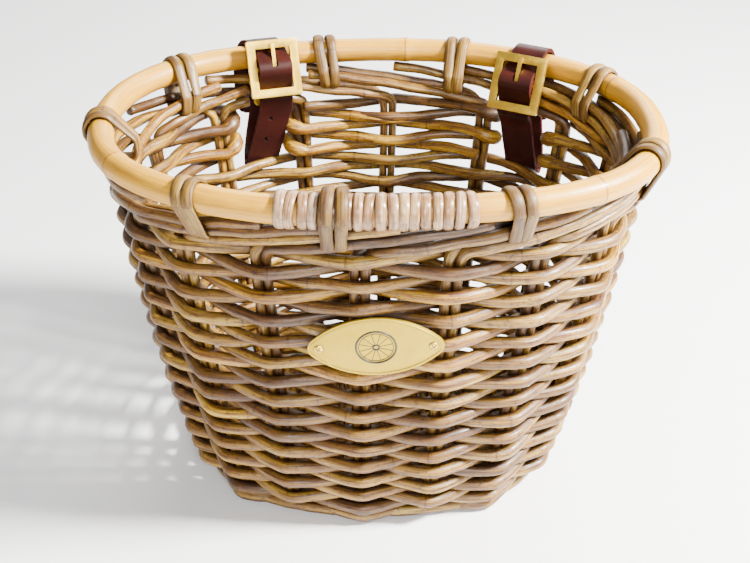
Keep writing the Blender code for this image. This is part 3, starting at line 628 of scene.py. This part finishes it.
def wobble(share, height):
    """The slow rise and fall that neighbouring rows share, and a little of a row's own."""
    turn = 2 * pi * share
    shared = (0.0010 * np.sin(3 * turn + 1.1 + height * 22)
              + 0.0008 * np.sin(7 * turn + 0.4 - height * 31)
              + 0.0005 * np.sin(13 * turn + height * 57))
    own = sum(0.00030 * np.sin(k * turn + rng.uniform(0, 6.28)) for k in (5, 11, 17))
    return (shared + own) * np.clip(height / 0.03, 0.4, 1.0)


def last_stake(share):
    """The number of the last stake before each share, and how far past it the share is."""
    turn = STAKES[0] + (share - STAKES[0]) % 1.0
    left = np.clip(np.searchsorted(STAKE_ROUND, turn, side="right") - 1, 0, len(STAKES) - 1)
    return left, turn - STAKE_ROUND[left]


def weave_offset(share, row):
    """Distance outward of the stakes: outside one stake and inside the next."""
    left, past = last_stake(share)
    part = past / np.diff(STAKE_ROUND)[left]
    sign = np.where((left + max(row, 0) + FRONT_CENTRE_STAKE) % 2 == 0, 1.0, -1.0)
    wave = np.arcsin(WEAVE_CREST * np.cos(pi * part)) / np.arcsin(WEAVE_CREST) * sign
    return WEAVE_SWING * wave


def at_stake(stake, row):
    """How far outward a row passes this stake."""
    return weave_offset(np.array([stake + 1e-6]), row)[0]


def row_height(row):
    """Rows open out a little towards the rim. Row -1 is the foot, pushed down under row 0."""
    if row < 0:
        return FOOT_ROW
    return FIRST_ROW + ROW_PITCH * row + ROW_GROWTH * row * row


def weave_shade():
    """A rod's own shade: mostly grey-tan, some dark, some honey."""
    kind = rng.random()
    if kind < 0.22:
        return rng.uniform(0.14, 0.34)
    if kind < 0.84:
        return rng.uniform(0.34, 0.68)
    return rng.uniform(0.68, 0.98)


def lay_rods(bundle, path, outward, cuts, closed, swell=None):
    """Lays a long line of weaving as rods whose thinned tails lie over one another.

    cuts are the places in the path, in order and all behind a stake, where one rod ends and the
    next begins. swell is 1 where a rod is squeezed thick round the stake beside a slot.
    """
    size = len(path)
    if closed:
        spans = [(a - TAIL_STEPS, b + TAIL_STEPS) for a, b in zip(cuts, [*cuts[1:], cuts[0] + size])]
    else:
        spans = [(max(a - TAIL_STEPS, 0), min(b + TAIL_STEPS, size - 1))
                 for a, b in zip([0, *cuts], [*cuts, size - 1])]
    for low, high in spans:
        index = np.arange(low, high + 1)
        steps = index % size
        at_ends = (closed or low > 0, closed or high < size - 1)
        ramp = np.linspace(0, 1, len(index))
        start, end = (is_tail * np.clip(1 - away * len(index) / (2.2 * TAIL_STEPS), 0, 1)
                      for is_tail, away in zip(at_ends, (ramp, 1 - ramp)))
        part = path[steps]
        part[:, 2] += TAIL_LIFT * start - TAIL_LIFT * end
        part += outward[steps] * (-TAIL_TUCK * (start + end))[:, None]
        if reach_along(part)[-1] < SHORTEST_ROD:
            continue
        radius = WEAVER_RADIUS * rng.uniform(0.91, 1.06)
        if swell is not None:
            radius = radius * (1 + SLOT_SWELL * swell[index])
        bundle.rod(part, radius, weave_shade(), taper=[TAIL_TAPER * is_tail for is_tail in at_ends])


def closed_row(bundle, row):
    """A whole turn of weaving, in two to four rods."""
    step = ROD_STEP / WALL.length
    share = np.arange(0, 1, step)
    height = row_height(row) + wobble(share, row_height(row))
    path = WALL.at(share, height, weave_offset(share, row))
    behind = [stake for stake in STAKES if at_stake(stake, row) < 0]
    first = rng.integers(0, len(behind))
    count = int(rng.integers(2, 5))
    picks = sorted({int((first + i * len(behind) / count) % len(behind)) for i in range(count)})
    cuts = [int(behind[i] / step) for i in picks]
    lay_rods(bundle, path, WALL.outward(share, height), cuts, closed=True)


def slot_loop(edge, way, row, steps=9):
    """Shares, heights and offsets of the turn round the stake beside a slot, up to the next row.

    way is +1 where the slot lies past the stake and -1 where it lies before it.
    """
    start = np.sign(at_stake(edge, row))
    angle = np.linspace(0, pi, steps + 2)[1:-1]
    bulge = (2 * STAKE_RADIUS + WEAVER_RADIUS) / WALL.length
    share = edge + way * bulge * np.sin(angle)
    offset = start * WEAVE_SWING * np.cos(angle)
    height = row_height(row) + (row_height(row + 1) - row_height(row)) * angle / pi
    return share, height, offset


def upper_panel(bundle, low, high):
    """Weaving between two slots: it runs to the stake at the edge, round it, and back above."""
    runs = []
    for row in range(ROWS_BELOW_SLOTS + 1, ROWS):
        share = np.arange(low, high, ROD_STEP / WALL.length)
        edge, way = (high, 1) if (row - ROWS_BELOW_SLOTS) % 2 == 1 else (low, -1)
        share = share[::way]
        height = row_height(row) + wobble(share, row_height(row))
        runs.append((share, height, weave_offset(share, row)))
        if row < ROWS - 1:
            runs.append(slot_loop(edge, way, row))
    share, height, offset = (np.concatenate(values) for values in zip(*runs))
    rough = WALL.at(share, height, offset)
    path = smooth_path(rough[::2], ROD_STEP)
    nearest = np.array([np.argmin(np.abs(rough - p).sum(1)) for p in path])
    turns, outward = share[nearest], WALL.outward(share[nearest], height[nearest])
    stakes = [s + lap for s in STAKES for lap in (0, 1) if low + 0.02 < s + lap < high - 0.02]
    behind = []
    for stake in stakes:
        for i in range(8, len(path) - 8):
            crosses = (turns[i] - stake) * (turns[i + 1] - stake) <= 0
            if crosses and offset[nearest[i]] < -0.5 * WEAVE_SWING:
                behind.append(i)
    cuts, last = [], 0
    for place in sorted(behind):
        if place - last > rng.uniform(60, 130):
            cuts.append(place)
            last = place
    past = np.maximum(turns - high, low - turns) * WALL.length / (STAKE_RADIUS + WEAVER_RADIUS)
    lay_rods(bundle, path, outward, cuts, closed=False, swell=np.clip(past + 0.25, 0, 1))


def make_weave():
    for group in range(WEAVE_GROUPS):
        bundle = Bundle()
        for row in range(group - 1, ROWS_BELOW_SLOTS + 1, WEAVE_GROUPS):
            closed_row(bundle, row)
        bundle.make(f"woven_rows_{group + 1}", WOVEN, "woven_cane", "weave_lower")
    right, left = ([STAKES[i] for i in pair] for pair in (RIGHT_SLOT_STAKES, LEFT_SLOT_STAKES))
    for side, low, high in (("rear", right[1], left[0]), ("front", left[1], right[0] + 1)):
        bundle = Bundle()
        upper_panel(bundle, low, high)
        bundle.make(f"woven_{side}_panel", WOVEN, "woven_cane", f"weave_upper_{side}")


def border_turn(index, way):
    """Which way round a stake's rod turns down, and how many stakes it passes."""
    stake = STAKES[index]
    if way > 0:
        return 1, BORDER_REACH
    if index in BACKWARD_STAKES:
        return -1, min(BORDER_REACH, (stake - BACKWARD_STOP) / STAKE_STEP)
    stop = INNER_STOPS.get(index, stake + 1)
    stop += 1 if stop < stake else 0
    return 1, min(BORDER_REACH, (stop - stake) / STAKE_STEP)


def make_stakes():
    """Each pair stands in the wall and turns down along the border, one rod outside, one inside."""
    for number, stake in enumerate(STAKES, 1):
        bundle = Bundle()
        for way in (1, -1):
            lean = way * 1.04 * STAKE_RADIUS / WALL.length
            plan = [(stake + lean, height, 0.0) for height in STAKE_HEIGHTS]
            turn, reach = border_turn(number - 1, way)
            plan.append((stake + lean + turn * 0.0030, STAKE_BENDS, way * 0.0015))
            for passed in np.linspace(0.30, reach, 7):
                height = BORDER_FOOT + BORDER_RISE * passed + 0.0005 * sin(9.0 * passed + number)
                plan.append((stake + turn * passed * STAKE_STEP, height,
                             way * BORDER_SPREAD[int(passed >= 0.4)]))
            path = smooth_path(WALL.at(*np.array(plan).T), ROD_STEP)
            facing = WALL.outward(np.full(len(path), stake), 0.1)
            bent = np.clip((path[:, 2] - STAKE_HEIGHTS[-1] - 0.003) / 0.012, 0, 1)
            radius = STAKE_RADIUS + (BORDER_ROD_RADIUS - STAKE_RADIUS) * bent
            bundle.rod(path, radius * rng.uniform(0.96, 1.08), weave_shade() * 0.95, facing=facing)
        replaced = [f"stake_pair_{number:02d}"]
        if number == 1:
            replaced += ["border_rod_outer_upper", "border_rod_outer_lower", "border_rod_inner"]
        bundle.make(f"stake_rods_{number:02d}", WOVEN, "woven_cane", *replaced)


def base_reach(across, half_across, half_along):
    """Half the length of the base at a place across it."""
    return half_along * (1 - (abs(across) / half_across) ** BASE_EXPONENT) ** (1 / BASE_EXPONENT)


def make_base():
    """Lengthwise sticks with rods woven across them, inside two rods that edge the foot."""
    low, high = (Vector(corner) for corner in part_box("base_weave"))
    middle = (low.z + high.z) / 2
    half_length, half_depth = (high - low).xy / 2
    sticks = Bundle()
    for y in BASE_STICKS:
        reach = base_reach(y, half_depth, half_length) - 0.003
        x = np.linspace(-reach, reach, 60)
        for twin in (-1, 1):
            path = np.column_stack([x, np.full(60, y + twin * 0.0031), np.full(60, middle)])
            sticks.rod(path, BASE_STICK_RADIUS, weave_shade())
    replaced = [f"base_stick_{number}" for number in range(1, len(BASE_STICKS) + 1)]
    sticks.make("base_sticks", WOVEN, "woven_cane", *replaced)

    weave = Bundle()
    count = int(2 * (half_length - 0.006) / BASE_ROD_PITCH)
    for i in range(count):
        x = (i - (count - 1) / 2) * BASE_ROD_PITCH
        reach = base_reach(x, half_length, half_depth) - 0.004
        if reach < 0.012:
            continue
        y = np.linspace(-reach, reach, max(int(2 * reach / 0.0035), 8))
        phase = (y - BASE_STICKS[0]) / (BASE_STICKS[1] - BASE_STICKS[0]) * pi
        lift = np.cos(phase) * (1 if i % 2 else -1) * BASE_SWING
        path = np.column_stack([x + 0.0004 * np.sin(y * 90 + i), y, middle + lift])
        facing = np.tile([1.0, 0.0, 0.0], (len(y), 1))
        weave.rod(path, BASE_ROD_RADIUS, weave_shade(), facing=facing, sides=8)
    weave.make("base_cross_rods", WOVEN, "woven_cane", "base_weave")

    foot = Bundle()
    share = np.arange(0, 1, 0.004)
    for height, offset, radius, phase in FOOT_RODS:
        sway = 0.0005 * np.sin(2 * pi * (5 * share + phase))
        path = WALL.at(share, height + sway, offset)
        foot.rod(path, radius, rng.uniform(0.35, 0.6), closed=True)
    foot.make("foot_rods", WOVEN, "woven_cane", "foot_rod")


# ---------------- rim, binding, lashings

def rim_frame(share):
    """A point of the rim's centreline, the way outward, and the way along the rim."""
    point, out = (rows[0] for rows in rim_at(share))
    return point, out, np.cross(out, UPWARD)


def make_rim():
    bundle = Bundle()
    share = sum(BINDING_SPAN) / 2 + np.arange(0, 1, 0.0032)
    path, out = rim_at(share)
    path[:, 2] += 0.0005 * np.sin(2 * pi * (share * 5 + 0.2))
    path += out * (0.0005 * np.sin(2 * pi * (share * 4 + 0.6)))[:, None]
    bundle.rod(path, RIM_RADIUS, 0.6, sides=28, closed=True, rough=0.008)
    bundle.make("rim_cane", PALE, "pale_cane", "rim_pole")

    turns = Bundle()
    pitch = (BINDING_SPAN[1] - BINDING_SPAN[0]) / BINDING_TURNS
    angle = np.linspace(0, 2 * pi, 40, endpoint=False)
    for turn in range(BINDING_TURNS):
        centre, out, side = rim_frame(BINDING_SPAN[0] + pitch * (turn + 0.5))
        lean = rng.uniform(-0.0013, 0.0013) + 0.0006
        reach = RIM_RADIUS + 0.0009 + rng.uniform(-0.0002, 0.0006)
        spoke = out * np.cos(angle)[:, None] + UPWARD * np.sin(angle)[:, None]
        sway = lean * np.cos(angle + rng.uniform(-0.5, 0.5))
        path = centre + spoke * reach + side * sway[:, None]
        width = pitch * RIM_LENGTH * 0.5 * rng.uniform(0.93, 1.03)
        turns.rod(path, width, rng.uniform(0.0, 1.0), facing=spoke, flat=BINDING_FLAT, sides=14,
                  closed=True, knots=False, rough=0.03)
    turns.make("binding_turns", BINDING, "grey_binding", "rim_joint_binding")


def border_gap(share):
    """The height between two border rods near this share, where a lashing can pass."""
    return BORDER_FOOT + BORDER_RISE * (min(last_stake(share)[1] / STAKE_STEP, 1.0) + 0.40)


def make_ties():
    """Each lashing is two strands of split cane round the rim and the upper border rods."""
    angle = np.linspace(0, 2 * pi, TIE_POINTS, endpoint=False)
    for number, (share, slant) in enumerate(zip(TIES, TIE_SLANTS), 1):
        point, out, side = rim_frame(share)
        bulk = RIM_RADIUS + (0.0026 if share == TIE_ON_BINDING else 0.0)
        bottom = border_gap(share) - (0.004 if share == TIE_ON_BINDING else 0.0)
        line = float(np.dot(WALL.at(share, 0.250, 0.0)[0] - point, out))
        discs = [(0.0, RIM_HEIGHT, bulk)]
        for offset in (-BORDER_DISC_OFF, BORDER_DISC_OFF):
            discs += [(line + offset, bottom + rise, BORDER_DISC) for rise in (0.0046, 0.0105)]
        bundle = Bundle()
        for strand in (-1, 1):
            outline = []
            for c, s in zip(np.cos(angle), np.sin(angle)):
                x, z, r = max(discs, key=lambda disc: disc[0] * c + disc[1] * s + disc[2])
                outline.append((x + (r + TIE_CLEARANCE) * c, z + (r + TIE_CLEARANCE) * s))
            outline = np.array(outline)
            spread = rng.uniform(0.0040, 0.0044)
            top = RIM_HEIGHT + bulk
            fall = (top - outline[:, 1]) / (top - bottom)
            shift = strand * spread * (1 - 0.25 * fall) + slant * (fall - 0.3)
            waver = np.sin(np.linspace(0, 2 * pi, TIE_POINTS) + rng.uniform(0, 6))
            shift = shift + 0.0007 * waver
            path = (point * [1, 1, 0] + out * outline[:, :1] + side * shift[:, None]
                    + UPWARD * outline[:, 1:])
            even = smooth_path(np.vstack([path, path[:1]]), 0.0024)[:-1]
            facing = even - even.mean(axis=0)
            facing -= np.outer(facing @ side, side)
            bundle.rod(even, TIE_WIDTH * rng.uniform(0.92, 1.06), rng.uniform(0.1, 0.95),
                       facing=facing, flat=TIE_FLAT, sides=14, closed=True, knots=False, rough=0.04)
        bundle.make(f"lashing_{number}", TIE, "tie_cane", f"rim_tie_{number}")


# ---------------- straps and buckles

class StrapPlace:
    """Frame of one strap: sideways along the rim, outward, up; and its buckle's plane."""

    def __init__(self, x, hang):
        rear = RIM_LINE[: len(RIM_LINE) // 2]
        index = int(np.argmin(np.abs(rear[:, 0] - x)))
        share = index / (len(RIM_LINE) - 1)
        for _ in range(30):
            share += (rim_at(share)[0][0][0] - x) / RIM_LENGTH
        point, out, _ = rim_frame(share)
        self.origin = Vector((point[0], point[1], 0))
        self.out = Vector(out)
        self.side = self.out.cross(UP)
        c, s = cos(BUCKLE_LEAN), sin(BUCKLE_LEAN)
        self.rise = (s, c)
        self.face = (-c, s)
        self.bar = (self.face[0] * BUCKLE_OFF_RIM - self.rise[0] * hang,
                    RIM_HEIGHT + self.face[1] * BUCKLE_OFF_RIM - self.rise[1] * hang)

    def on_buckle(self, along, off):
        return (self.bar[0] + along * self.rise[0] + off * self.face[0],
                self.bar[1] + along * self.rise[1] + off * self.face[1])

    def world(self, side, out, height):
        return self.origin + self.side * side + self.out * out + UP * height

    def buckle_matrix(self):
        rise = self.out * self.rise[0] + UP * self.rise[1]
        face = self.out * self.face[0] + UP * self.face[1]
        made = Matrix((self.side, rise, face)).transposed().to_4x4()
        made.translation = self.world(0, *self.bar)
        return made


def arc(centre, radius, start, stop, steps):
    """Points along an arc, between two angles in degrees."""
    return [(centre[0] + radius * cos(radians(a)), centre[1] + radius * sin(radians(a)))
            for a in np.linspace(start, stop, steps)]


def belt_mesh(name, place, path, shifts, edges_at):
    """A leather strip along a path of (outward, height).

    shifts moves it sideways by its share of the length, and edges_at gives its left and right
    edge at a distance from its start, out of its length.
    """
    line = smooth_path([(out, 0.0, height) for out, height in path], BELT_STEP)
    reach = reach_along(line)
    middles = np.interp(reach / reach[-1], *zip(*shifts))
    mesh = bmesh.new()
    edge_layer = mesh.verts.layers.float.new("edge")
    rings = []
    for here, ahead, at, middle in zip(line, unit(np.gradient(line, axis=0)), reach, middles):
        left, right = edges_at(at, reach[-1])
        face = [(left, 0.45, 1.0), (left + BELT_CORNER, 1.0, 0.6)]
        face += [(left + (right - left) * (k + 1) / (BELT_COLUMNS + 1), 1.0, 0.0)
                 for k in range(BELT_COLUMNS)]
        face += [(right - BELT_CORNER, 1.0, 0.6), (right, 0.45, 1.0)]
        ring = []
        for side, off, edge in face + [(side, -off, edge) for side, off, edge in reversed(face)]:
            off *= LEATHER / 2
            ring.append(mesh.verts.new(place.world(middle + side, here[0] - off * ahead[2],
                                                   here[2] + off * ahead[0])))
            ring[-1][edge_layer] = edge
        rings.append(ring)
    for a, b in zip(rings, rings[1:]):
        for j, k in zip(range(len(a)), [*range(1, len(a)), 0]):
            mesh.faces.new((a[j], a[k], b[k], b[j]))
    mesh.faces.new(list(reversed(rings[0])))
    mesh.faces.new(rings[-1])
    bmesh.ops.recalc_face_normals(mesh, faces=mesh.faces)
    return mesh_from(mesh, name)


def cut(target, parts):
    """Cuts holes for good: cylinders (radius, length, matrix) and boxes (size, matrix)."""
    mesh = bmesh.new()
    for part in parts:
        if len(part) == 3:
            bmesh.ops.create_cone(mesh, cap_ends=True, segments=20, radius1=part[0],
                                  radius2=part[0], depth=part[1], matrix=part[2])
        else:
            bmesh.ops.create_cube(mesh, size=1.0, matrix=part[1] @ Matrix.Diagonal((*part[0], 1)))
    tool = in_scene("cut", mesh_from(mesh, "cut"))
    body = in_scene("body", target)
    change = body.modifiers.new("cut", "BOOLEAN")
    change.operation = "DIFFERENCE"
    change.object = tool
    return as_mesh(body, tool)


def as_mesh(made, *helpers):
    """The mesh of an object with its modifiers applied. The object and its helpers are removed."""
    bpy.context.view_layer.update()
    result = bpy.data.meshes.new_from_object(made.evaluated_get(bpy.context.evaluated_depsgraph_get()))
    for spent in (made, *helpers):
        bpy.data.objects.remove(spent)
    return result


def leather_piece(name, belt, cuts, replaced):
    finish_piece(name, smoothed(cut(belt, cuts), 48), LEATHER_LOOK, [replaced])


def make_strap(side):
    x, hang, slot_shift, end_shift, rivet_shift, chape_shift, holes = STRAPS[side]
    place = StrapPlace(x, hang)
    buckle = place.buckle_matrix()
    bore = Matrix((-place.side, UP, place.out)).transposed().to_4x4()
    bore.translation = place.world(rivet_shift, (CHAPE_OUT + STRAP_OUT) / 2, RIVET_HEIGHT)
    rivet_hole = (RIVET_HOLE_RADIUS, RIVET_HOLE_DEPTH, bore)

    def slot(size, spot):
        return size, buckle @ Matrix.Translation(spot)

    # The strap: under the frame, over the centre bar, down, out under its slot and up outside
    under = -(BUCKLE_HALF_THICKNESS + 0.0004 + LEATHER / 2)
    leave = place.on_buckle(-0.0215, under)
    on_frame = [(0.0195, under), (0.0160, under), (0.0130, under + 0.0012)]
    on_frame += arc((0, 0), STRAP_ARCH + LEATHER / 2, 42, 138, 7)
    on_frame += [(-0.0130, under + 0.0012), (-0.0160, under)]
    path = [place.on_buckle(along, off) for along, off in on_frame] + [leave, *STRAP_PASS]
    path += [(STRAP_OUT, height) for height in STRAP_OUTSIDE_HEIGHTS]
    shifts = [(0.0, 0.0), (0.33, 0.0), (0.62, slot_shift), (1.0, end_shift)]

    def pointed(at, total):
        away = 1 - min(max(at / STRAP_POINT, 0.0), 1.0)
        return -STRAP_HALF_WIDTH + 0.0075 * away ** 2, STRAP_HALF_WIDTH - 0.0150 * away

    cuts = [slot(*STRAP_SLOT), rivet_hole]
    for height in holes:
        middle = slot_shift * (leave[1] - height) / (leave[1] - STRAP_BOTTOM)
        hole = bore.copy()
        hole.translation = place.world(middle, HOLE_OUT, height)
        cuts.append((STRAP_HOLE_RADIUS, HOLE_DEPTH, hole))
    name = f"strap_{side}_leather"
    leather_piece(name, belt_mesh(name, place, path, shifts, pointed), cuts, f"strap_{side}")

    # The chape: round the centre bar, over the rim and down outside
    on_frame = [(0.0078, -0.0038), (0.0058, -0.0022)]
    on_frame += arc((0, 0), CENTRE_BAR_RADIUS + 0.0005 + LEATHER / 2, 10, 250, 10)
    on_frame += [(0.0085, CHAPE_OUT - BUCKLE_OFF_RIM)]
    path = [place.on_buckle(along, off) for along, off in on_frame]
    path += arc((0, RIM_HEIGHT), CHAPE_OUT, 180 - degrees(BUCKLE_LEAN), 0, 9)
    path += [(CHAPE_OUT, height) for height in CHAPE_OUTSIDE_HEIGHTS]
    shifts = [(0.0, 0.0), (0.30, 0.0), (0.62, chape_shift), (1.0, chape_shift)]

    def rounded(at, total):
        left = min((total - at) / STRAP_HALF_WIDTH, 1.0)
        half = STRAP_HALF_WIDTH * (0.45 + 0.55 * (1 - (1 - left) ** 2) ** 0.5)
        return -half, half

    name = f"strap_{side}_chape_leather"
    leather_piece(name, belt_mesh(name, place, path, shifts, rounded),
                  [slot(*CHAPE_SLOT), rivet_hole], f"strap_{side}_chape")

    make_buckle(side, buckle)
    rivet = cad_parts[f"strap_{side}_rivet"]
    rivet.data.materials.clear()
    rivet.data.materials.append(BRASS)


def outline_solid(outlines, half_depth, bevel):
    """A flat shape with holes, thickened both ways, its edges eased by a bevel."""
    data = bpy.data.curves.new("outline", "CURVE")
    data.dimensions = "2D"
    data.fill_mode = "BOTH"
    data.extrude = half_depth
    for outline in outlines:
        spline = data.splines.new("POLY")
        spline.points.add(len(outline) - 1)
        for spot, (x, y) in zip(spline.points, outline):
            spot.co = (x, y, 0, 1)
        spline.use_cyclic_u = True
    made = in_scene("outline", data)
    weld = made.modifiers.new("weld", "WELD")
    weld.merge_threshold = 0.000005
    ease = made.modifiers.new("ease", "BEVEL")
    ease.width = bevel
    ease.segments = 3
    ease.limit_method = "ANGLE"
    ease.angle_limit = radians(50)
    return smoothed(as_mesh(made), 35)


def rounded_rectangle(half_width, half_height, radius, steps=5):
    corners = []
    for sx, sy, start in ((1, 1, 0), (-1, 1, 90), (-1, -1, 180), (1, -1, 270)):
        centre = (sx * (half_width - radius), sy * (half_height - radius))
        corners += arc(centre, radius, start, start + 90, steps)
    return corners


def brass_piece(name, data, matrix, *replaced, look=None, body="basket"):
    data.name = name
    finish_piece(name, data, look or BRASS, replaced, body=body, matrix=matrix)


def make_buckle(side, matrix):
    outside = rounded_rectangle(BUCKLE_HALF_WIDTH, BUCKLE_HALF_HEIGHT, 0.0014)
    inside = rounded_rectangle(BUCKLE_HALF_WIDTH - BUCKLE_BAR, BUCKLE_HALF_HEIGHT - BUCKLE_BAR, 0.0007)
    square = outline_solid([outside, inside], BUCKLE_HALF_THICKNESS, 0.00045)
    brass_piece(f"buckle_{side}_brass", square, matrix, f"buckle_{side}_frame")

    mesh = bmesh.new()
    bmesh.ops.create_cone(mesh, cap_ends=True, segments=24, radius1=CENTRE_BAR_RADIUS,
                          radius2=CENTRE_BAR_RADIUS, depth=2 * BUCKLE_HALF_WIDTH - BUCKLE_BAR,
                          matrix=Matrix.Rotation(pi / 2, 4, "Y"))
    bar = smoothed(mesh_from(mesh, "bar"), 40)
    brass_piece(f"buckle_{side}_bar", bar, matrix, f"buckle_{side}_frame")

    lower = PRONG_RING_OUTER - 0.0020
    meet = atan2(lower, (PRONG_RING_OUTER ** 2 - lower ** 2) ** 0.5)
    outline = arc((0, 0), PRONG_RING_OUTER, 90, 360 + degrees(meet), 28)
    outline += [(PRONG_TIP - 0.0006, lower), (PRONG_TIP + 0.0004, lower + 0.0005),
                (PRONG_TIP + 0.0005, lower + 0.0012), (PRONG_TIP - 0.0008, PRONG_RING_OUTER - 0.0002),
                (PRONG_TIP - 0.0040, PRONG_RING_OUTER)]
    hole = arc((0, 0), PRONG_RING_INNER, 0, 345, 24)
    prong = outline_solid([outline, hole], PRONG_HALF_WIDTH, 0.0007)
    upright = Matrix(((0, 0, 1, 0), (1, 0, 0, 0), (0, 1, 0, 0), (0, 0, 0, 1)))
    brass_piece(f"buckle_{side}_needle", prong, matrix @ upright, f"buckle_{side}_prong",
                body=f"{side}_prong")


# ---------------- plate

def plate_outline(inset=0.0):
    """A long oval: two wide arcs that run into a small round at each end."""
    end = PLATE_HALF_LENGTH - PLATE_END_RADIUS
    rise = PLATE_HALF_HEIGHT - PLATE_END_RADIUS
    drop = (end ** 2 - rise ** 2) / (2 * rise)
    wide = PLATE_HALF_HEIGHT + drop - inset
    small = PLATE_END_RADIUS - inset
    meet = degrees(atan2(drop, end))
    outline = arc((end, 0), small, -meet, meet, 13)
    outline += arc((0, -drop), wide, meet, 180 - meet, 34)[1:-1]
    outline += arc((-end, 0), small, 180 - meet, 180 + meet, 13)
    outline += arc((0, drop), wide, 180 + meet, 360 - meet, 34)[1:-1]
    return outline


def plate_line(bundle, matrix, outline, lift, radius, sides=8, closed=True):
    """A thin even line laid on the plate's face."""
    bundle.rod([matrix @ Vector((x, y, PLATE_THICKNESS / 2 + lift)) for x, y in outline], radius, 0.5,
               sides=sides, closed=closed, knots=False, rough=0.0)


def ray(turn, *reaches):
    return [(reach * cos(turn), reach * sin(turn)) for reach in reaches]


def make_plate():
    stand = Matrix.Rotation(pi / 2 + PLATE_LEAN, 4, "X")
    matrix = Matrix.Translation(PLATE_CENTRE) @ stand @ Matrix.Rotation(PLATE_TURN, 4, "Z")
    plate = outline_solid([plate_outline()], PLATE_THICKNESS / 2, 0.0004)
    brass_piece("badge", plate, matrix, "badge_plate", look=PLATE_BRASS)

    beads = Bundle()
    for inset, radius in PLATE_BEADS:
        plate_line(beads, matrix, plate_outline(inset), 0.0, radius)
    beads.make("badge_border_lines", PLATE_BRASS, "brass")

    wheel = Bundle()
    for radius, width in WHEEL_RINGS:
        plate_line(wheel, matrix, arc((0, 0), radius, 0, 355, 72), 0.0, width)
    for spoke in range(WHEEL_SPOKES):
        line = ray(2 * pi * (spoke + 0.5) / WHEEL_SPOKES, WHEEL_RINGS[2][0], 0.0060, WHEEL_RINGS[1][0])
        plate_line(wheel, matrix, line, 0.0, 0.00026, sides=6, closed=False)
    wheel.make("badge_wheel", DARK_ENAMEL_AND_SHADE, "brass")

    # Painted shade: dark enamel lines round each screw head and across its cross-shaped hollow, where
    # shadow falls
    painted_screw_shade = Bundle()
    for side in (-1, 1):
        at_screw = matrix @ Matrix.Translation((side * SCREW_SPACING / 2, 0, 0))
        plate_line(painted_screw_shade, at_screw, arc((0, 0), SCREW_SHADE_RING, 0, 352.5, 48), 0.0, 0.00022)
        for turn in (radians(SCREW_TURN * side), radians(SCREW_TURN * side + 90)):
            cross = ray(turn, -SCREW_SHADE_CROSS, 0.0, SCREW_SHADE_CROSS)
            plate_line(painted_screw_shade, at_screw, cross, 0.0011, 0.00045, closed=False)
    painted_screw_shade.make("badge_screw_painted_shade", DARK_ENAMEL_AND_SHADE, "brass")

    for number, side in enumerate((-1, 1), 1):
        make_screw(number, side, matrix @ Matrix.Translation((side * SCREW_SPACING / 2, 0, 0)))


def make_screw(number, side, matrix):
    face = PLATE_THICKNESS / 2
    profile = [(0.0000, face + 0.00145), (0.0012, face + 0.00135), (0.0022, face + 0.0010),
               (0.0028, face + 0.0005), (0.0030, face), (0.0011, face - 0.0001),
               (0.0011, -0.0130), (0.0000, -0.0160)]
    mesh = bmesh.new()
    points = [mesh.verts.new((r, 0, z)) for r, z in profile]
    edges = [mesh.edges.new((a, b)) for a, b in zip(points, points[1:])]
    bmesh.ops.spin(mesh, geom=[*points, *edges], cent=(0, 0, 0), axis=(0, 0, 1),
                   angle=2 * pi, steps=28, use_merge=True)
    bmesh.ops.remove_doubles(mesh, verts=mesh.verts, dist=0.000005)
    bmesh.ops.recalc_face_normals(mesh, faces=mesh.faces)
    turn = Matrix.Rotation(radians(SCREW_TURN * side), 4, "Z")
    slot = ((0.0080, 0.0007, 0.0016), turn @ Matrix.Translation((0, 0, face + 0.0015)))
    screw = smoothed(cut(mesh_from(mesh, "screw"), [slot]), 40)
    brass_piece(f"badge_screw_brass_{number}", screw, matrix, f"badge_screw_{number}")


# ---------------- stage

def make_stage():
    mesh = bmesh.new()
    bmesh.ops.create_grid(mesh, x_segments=1, y_segments=1, size=6.0)
    floor = in_scene("floor", mesh_from(mesh, "floor"))
    floor.data.materials.append(
        Nodes("floor").finish((0.93, 0.93, 0.935), 0.9, {"Specular IOR Level": 0.1}))

    world = bpy.data.worlds.new("studio")
    world.use_nodes = True
    background = world.node_tree.nodes["Background"]
    background.inputs["Color"].default_value = (0.96, 0.975, 1.0, 1)
    background.inputs["Strength"].default_value = WORLD_STRENGTH
    bpy.context.scene.world = world

    for name, place, size, power, colour in LIGHTS:
        data = bpy.data.lights.new(name, "AREA")
        data.size = size
        data.energy = power
        data.color = colour
        lamp = in_scene(name, data)
        lamp.location = place
        aim = LIGHTS_AIM - Vector(place)
        lamp.rotation_euler = aim.to_track_quat("-Z", "Y").to_euler()


def make_camera():
    azimuth, elevation, roll = (radians(angle) for angle in CAMERA_ANGLES)
    back = Vector((sin(azimuth) * cos(elevation), -cos(azimuth) * cos(elevation), sin(elevation)))
    right = Vector((cos(azimuth), sin(azimuth), 0))
    up = back.cross(right)
    x_axis = right * cos(roll) + up * sin(roll)
    y_axis = up * cos(roll) - right * sin(roll)
    matrix = Matrix((x_axis, y_axis, back)).transposed().to_4x4()
    matrix.translation = CAMERA_AIM + back * CAMERA_DISTANCE
    data = bpy.data.cameras.new("camera")
    data.sensor_width = 36.0
    data.lens = CAMERA_LENS
    camera = in_scene("camera", data)
    camera.matrix_world = matrix
    bpy.context.scene.camera = camera


make_stage()
make_camera()
make_weave()
make_stakes()
make_base()
make_rim()
make_ties()
for strap_side in STRAPS:
    make_strap(strap_side)
make_plate()
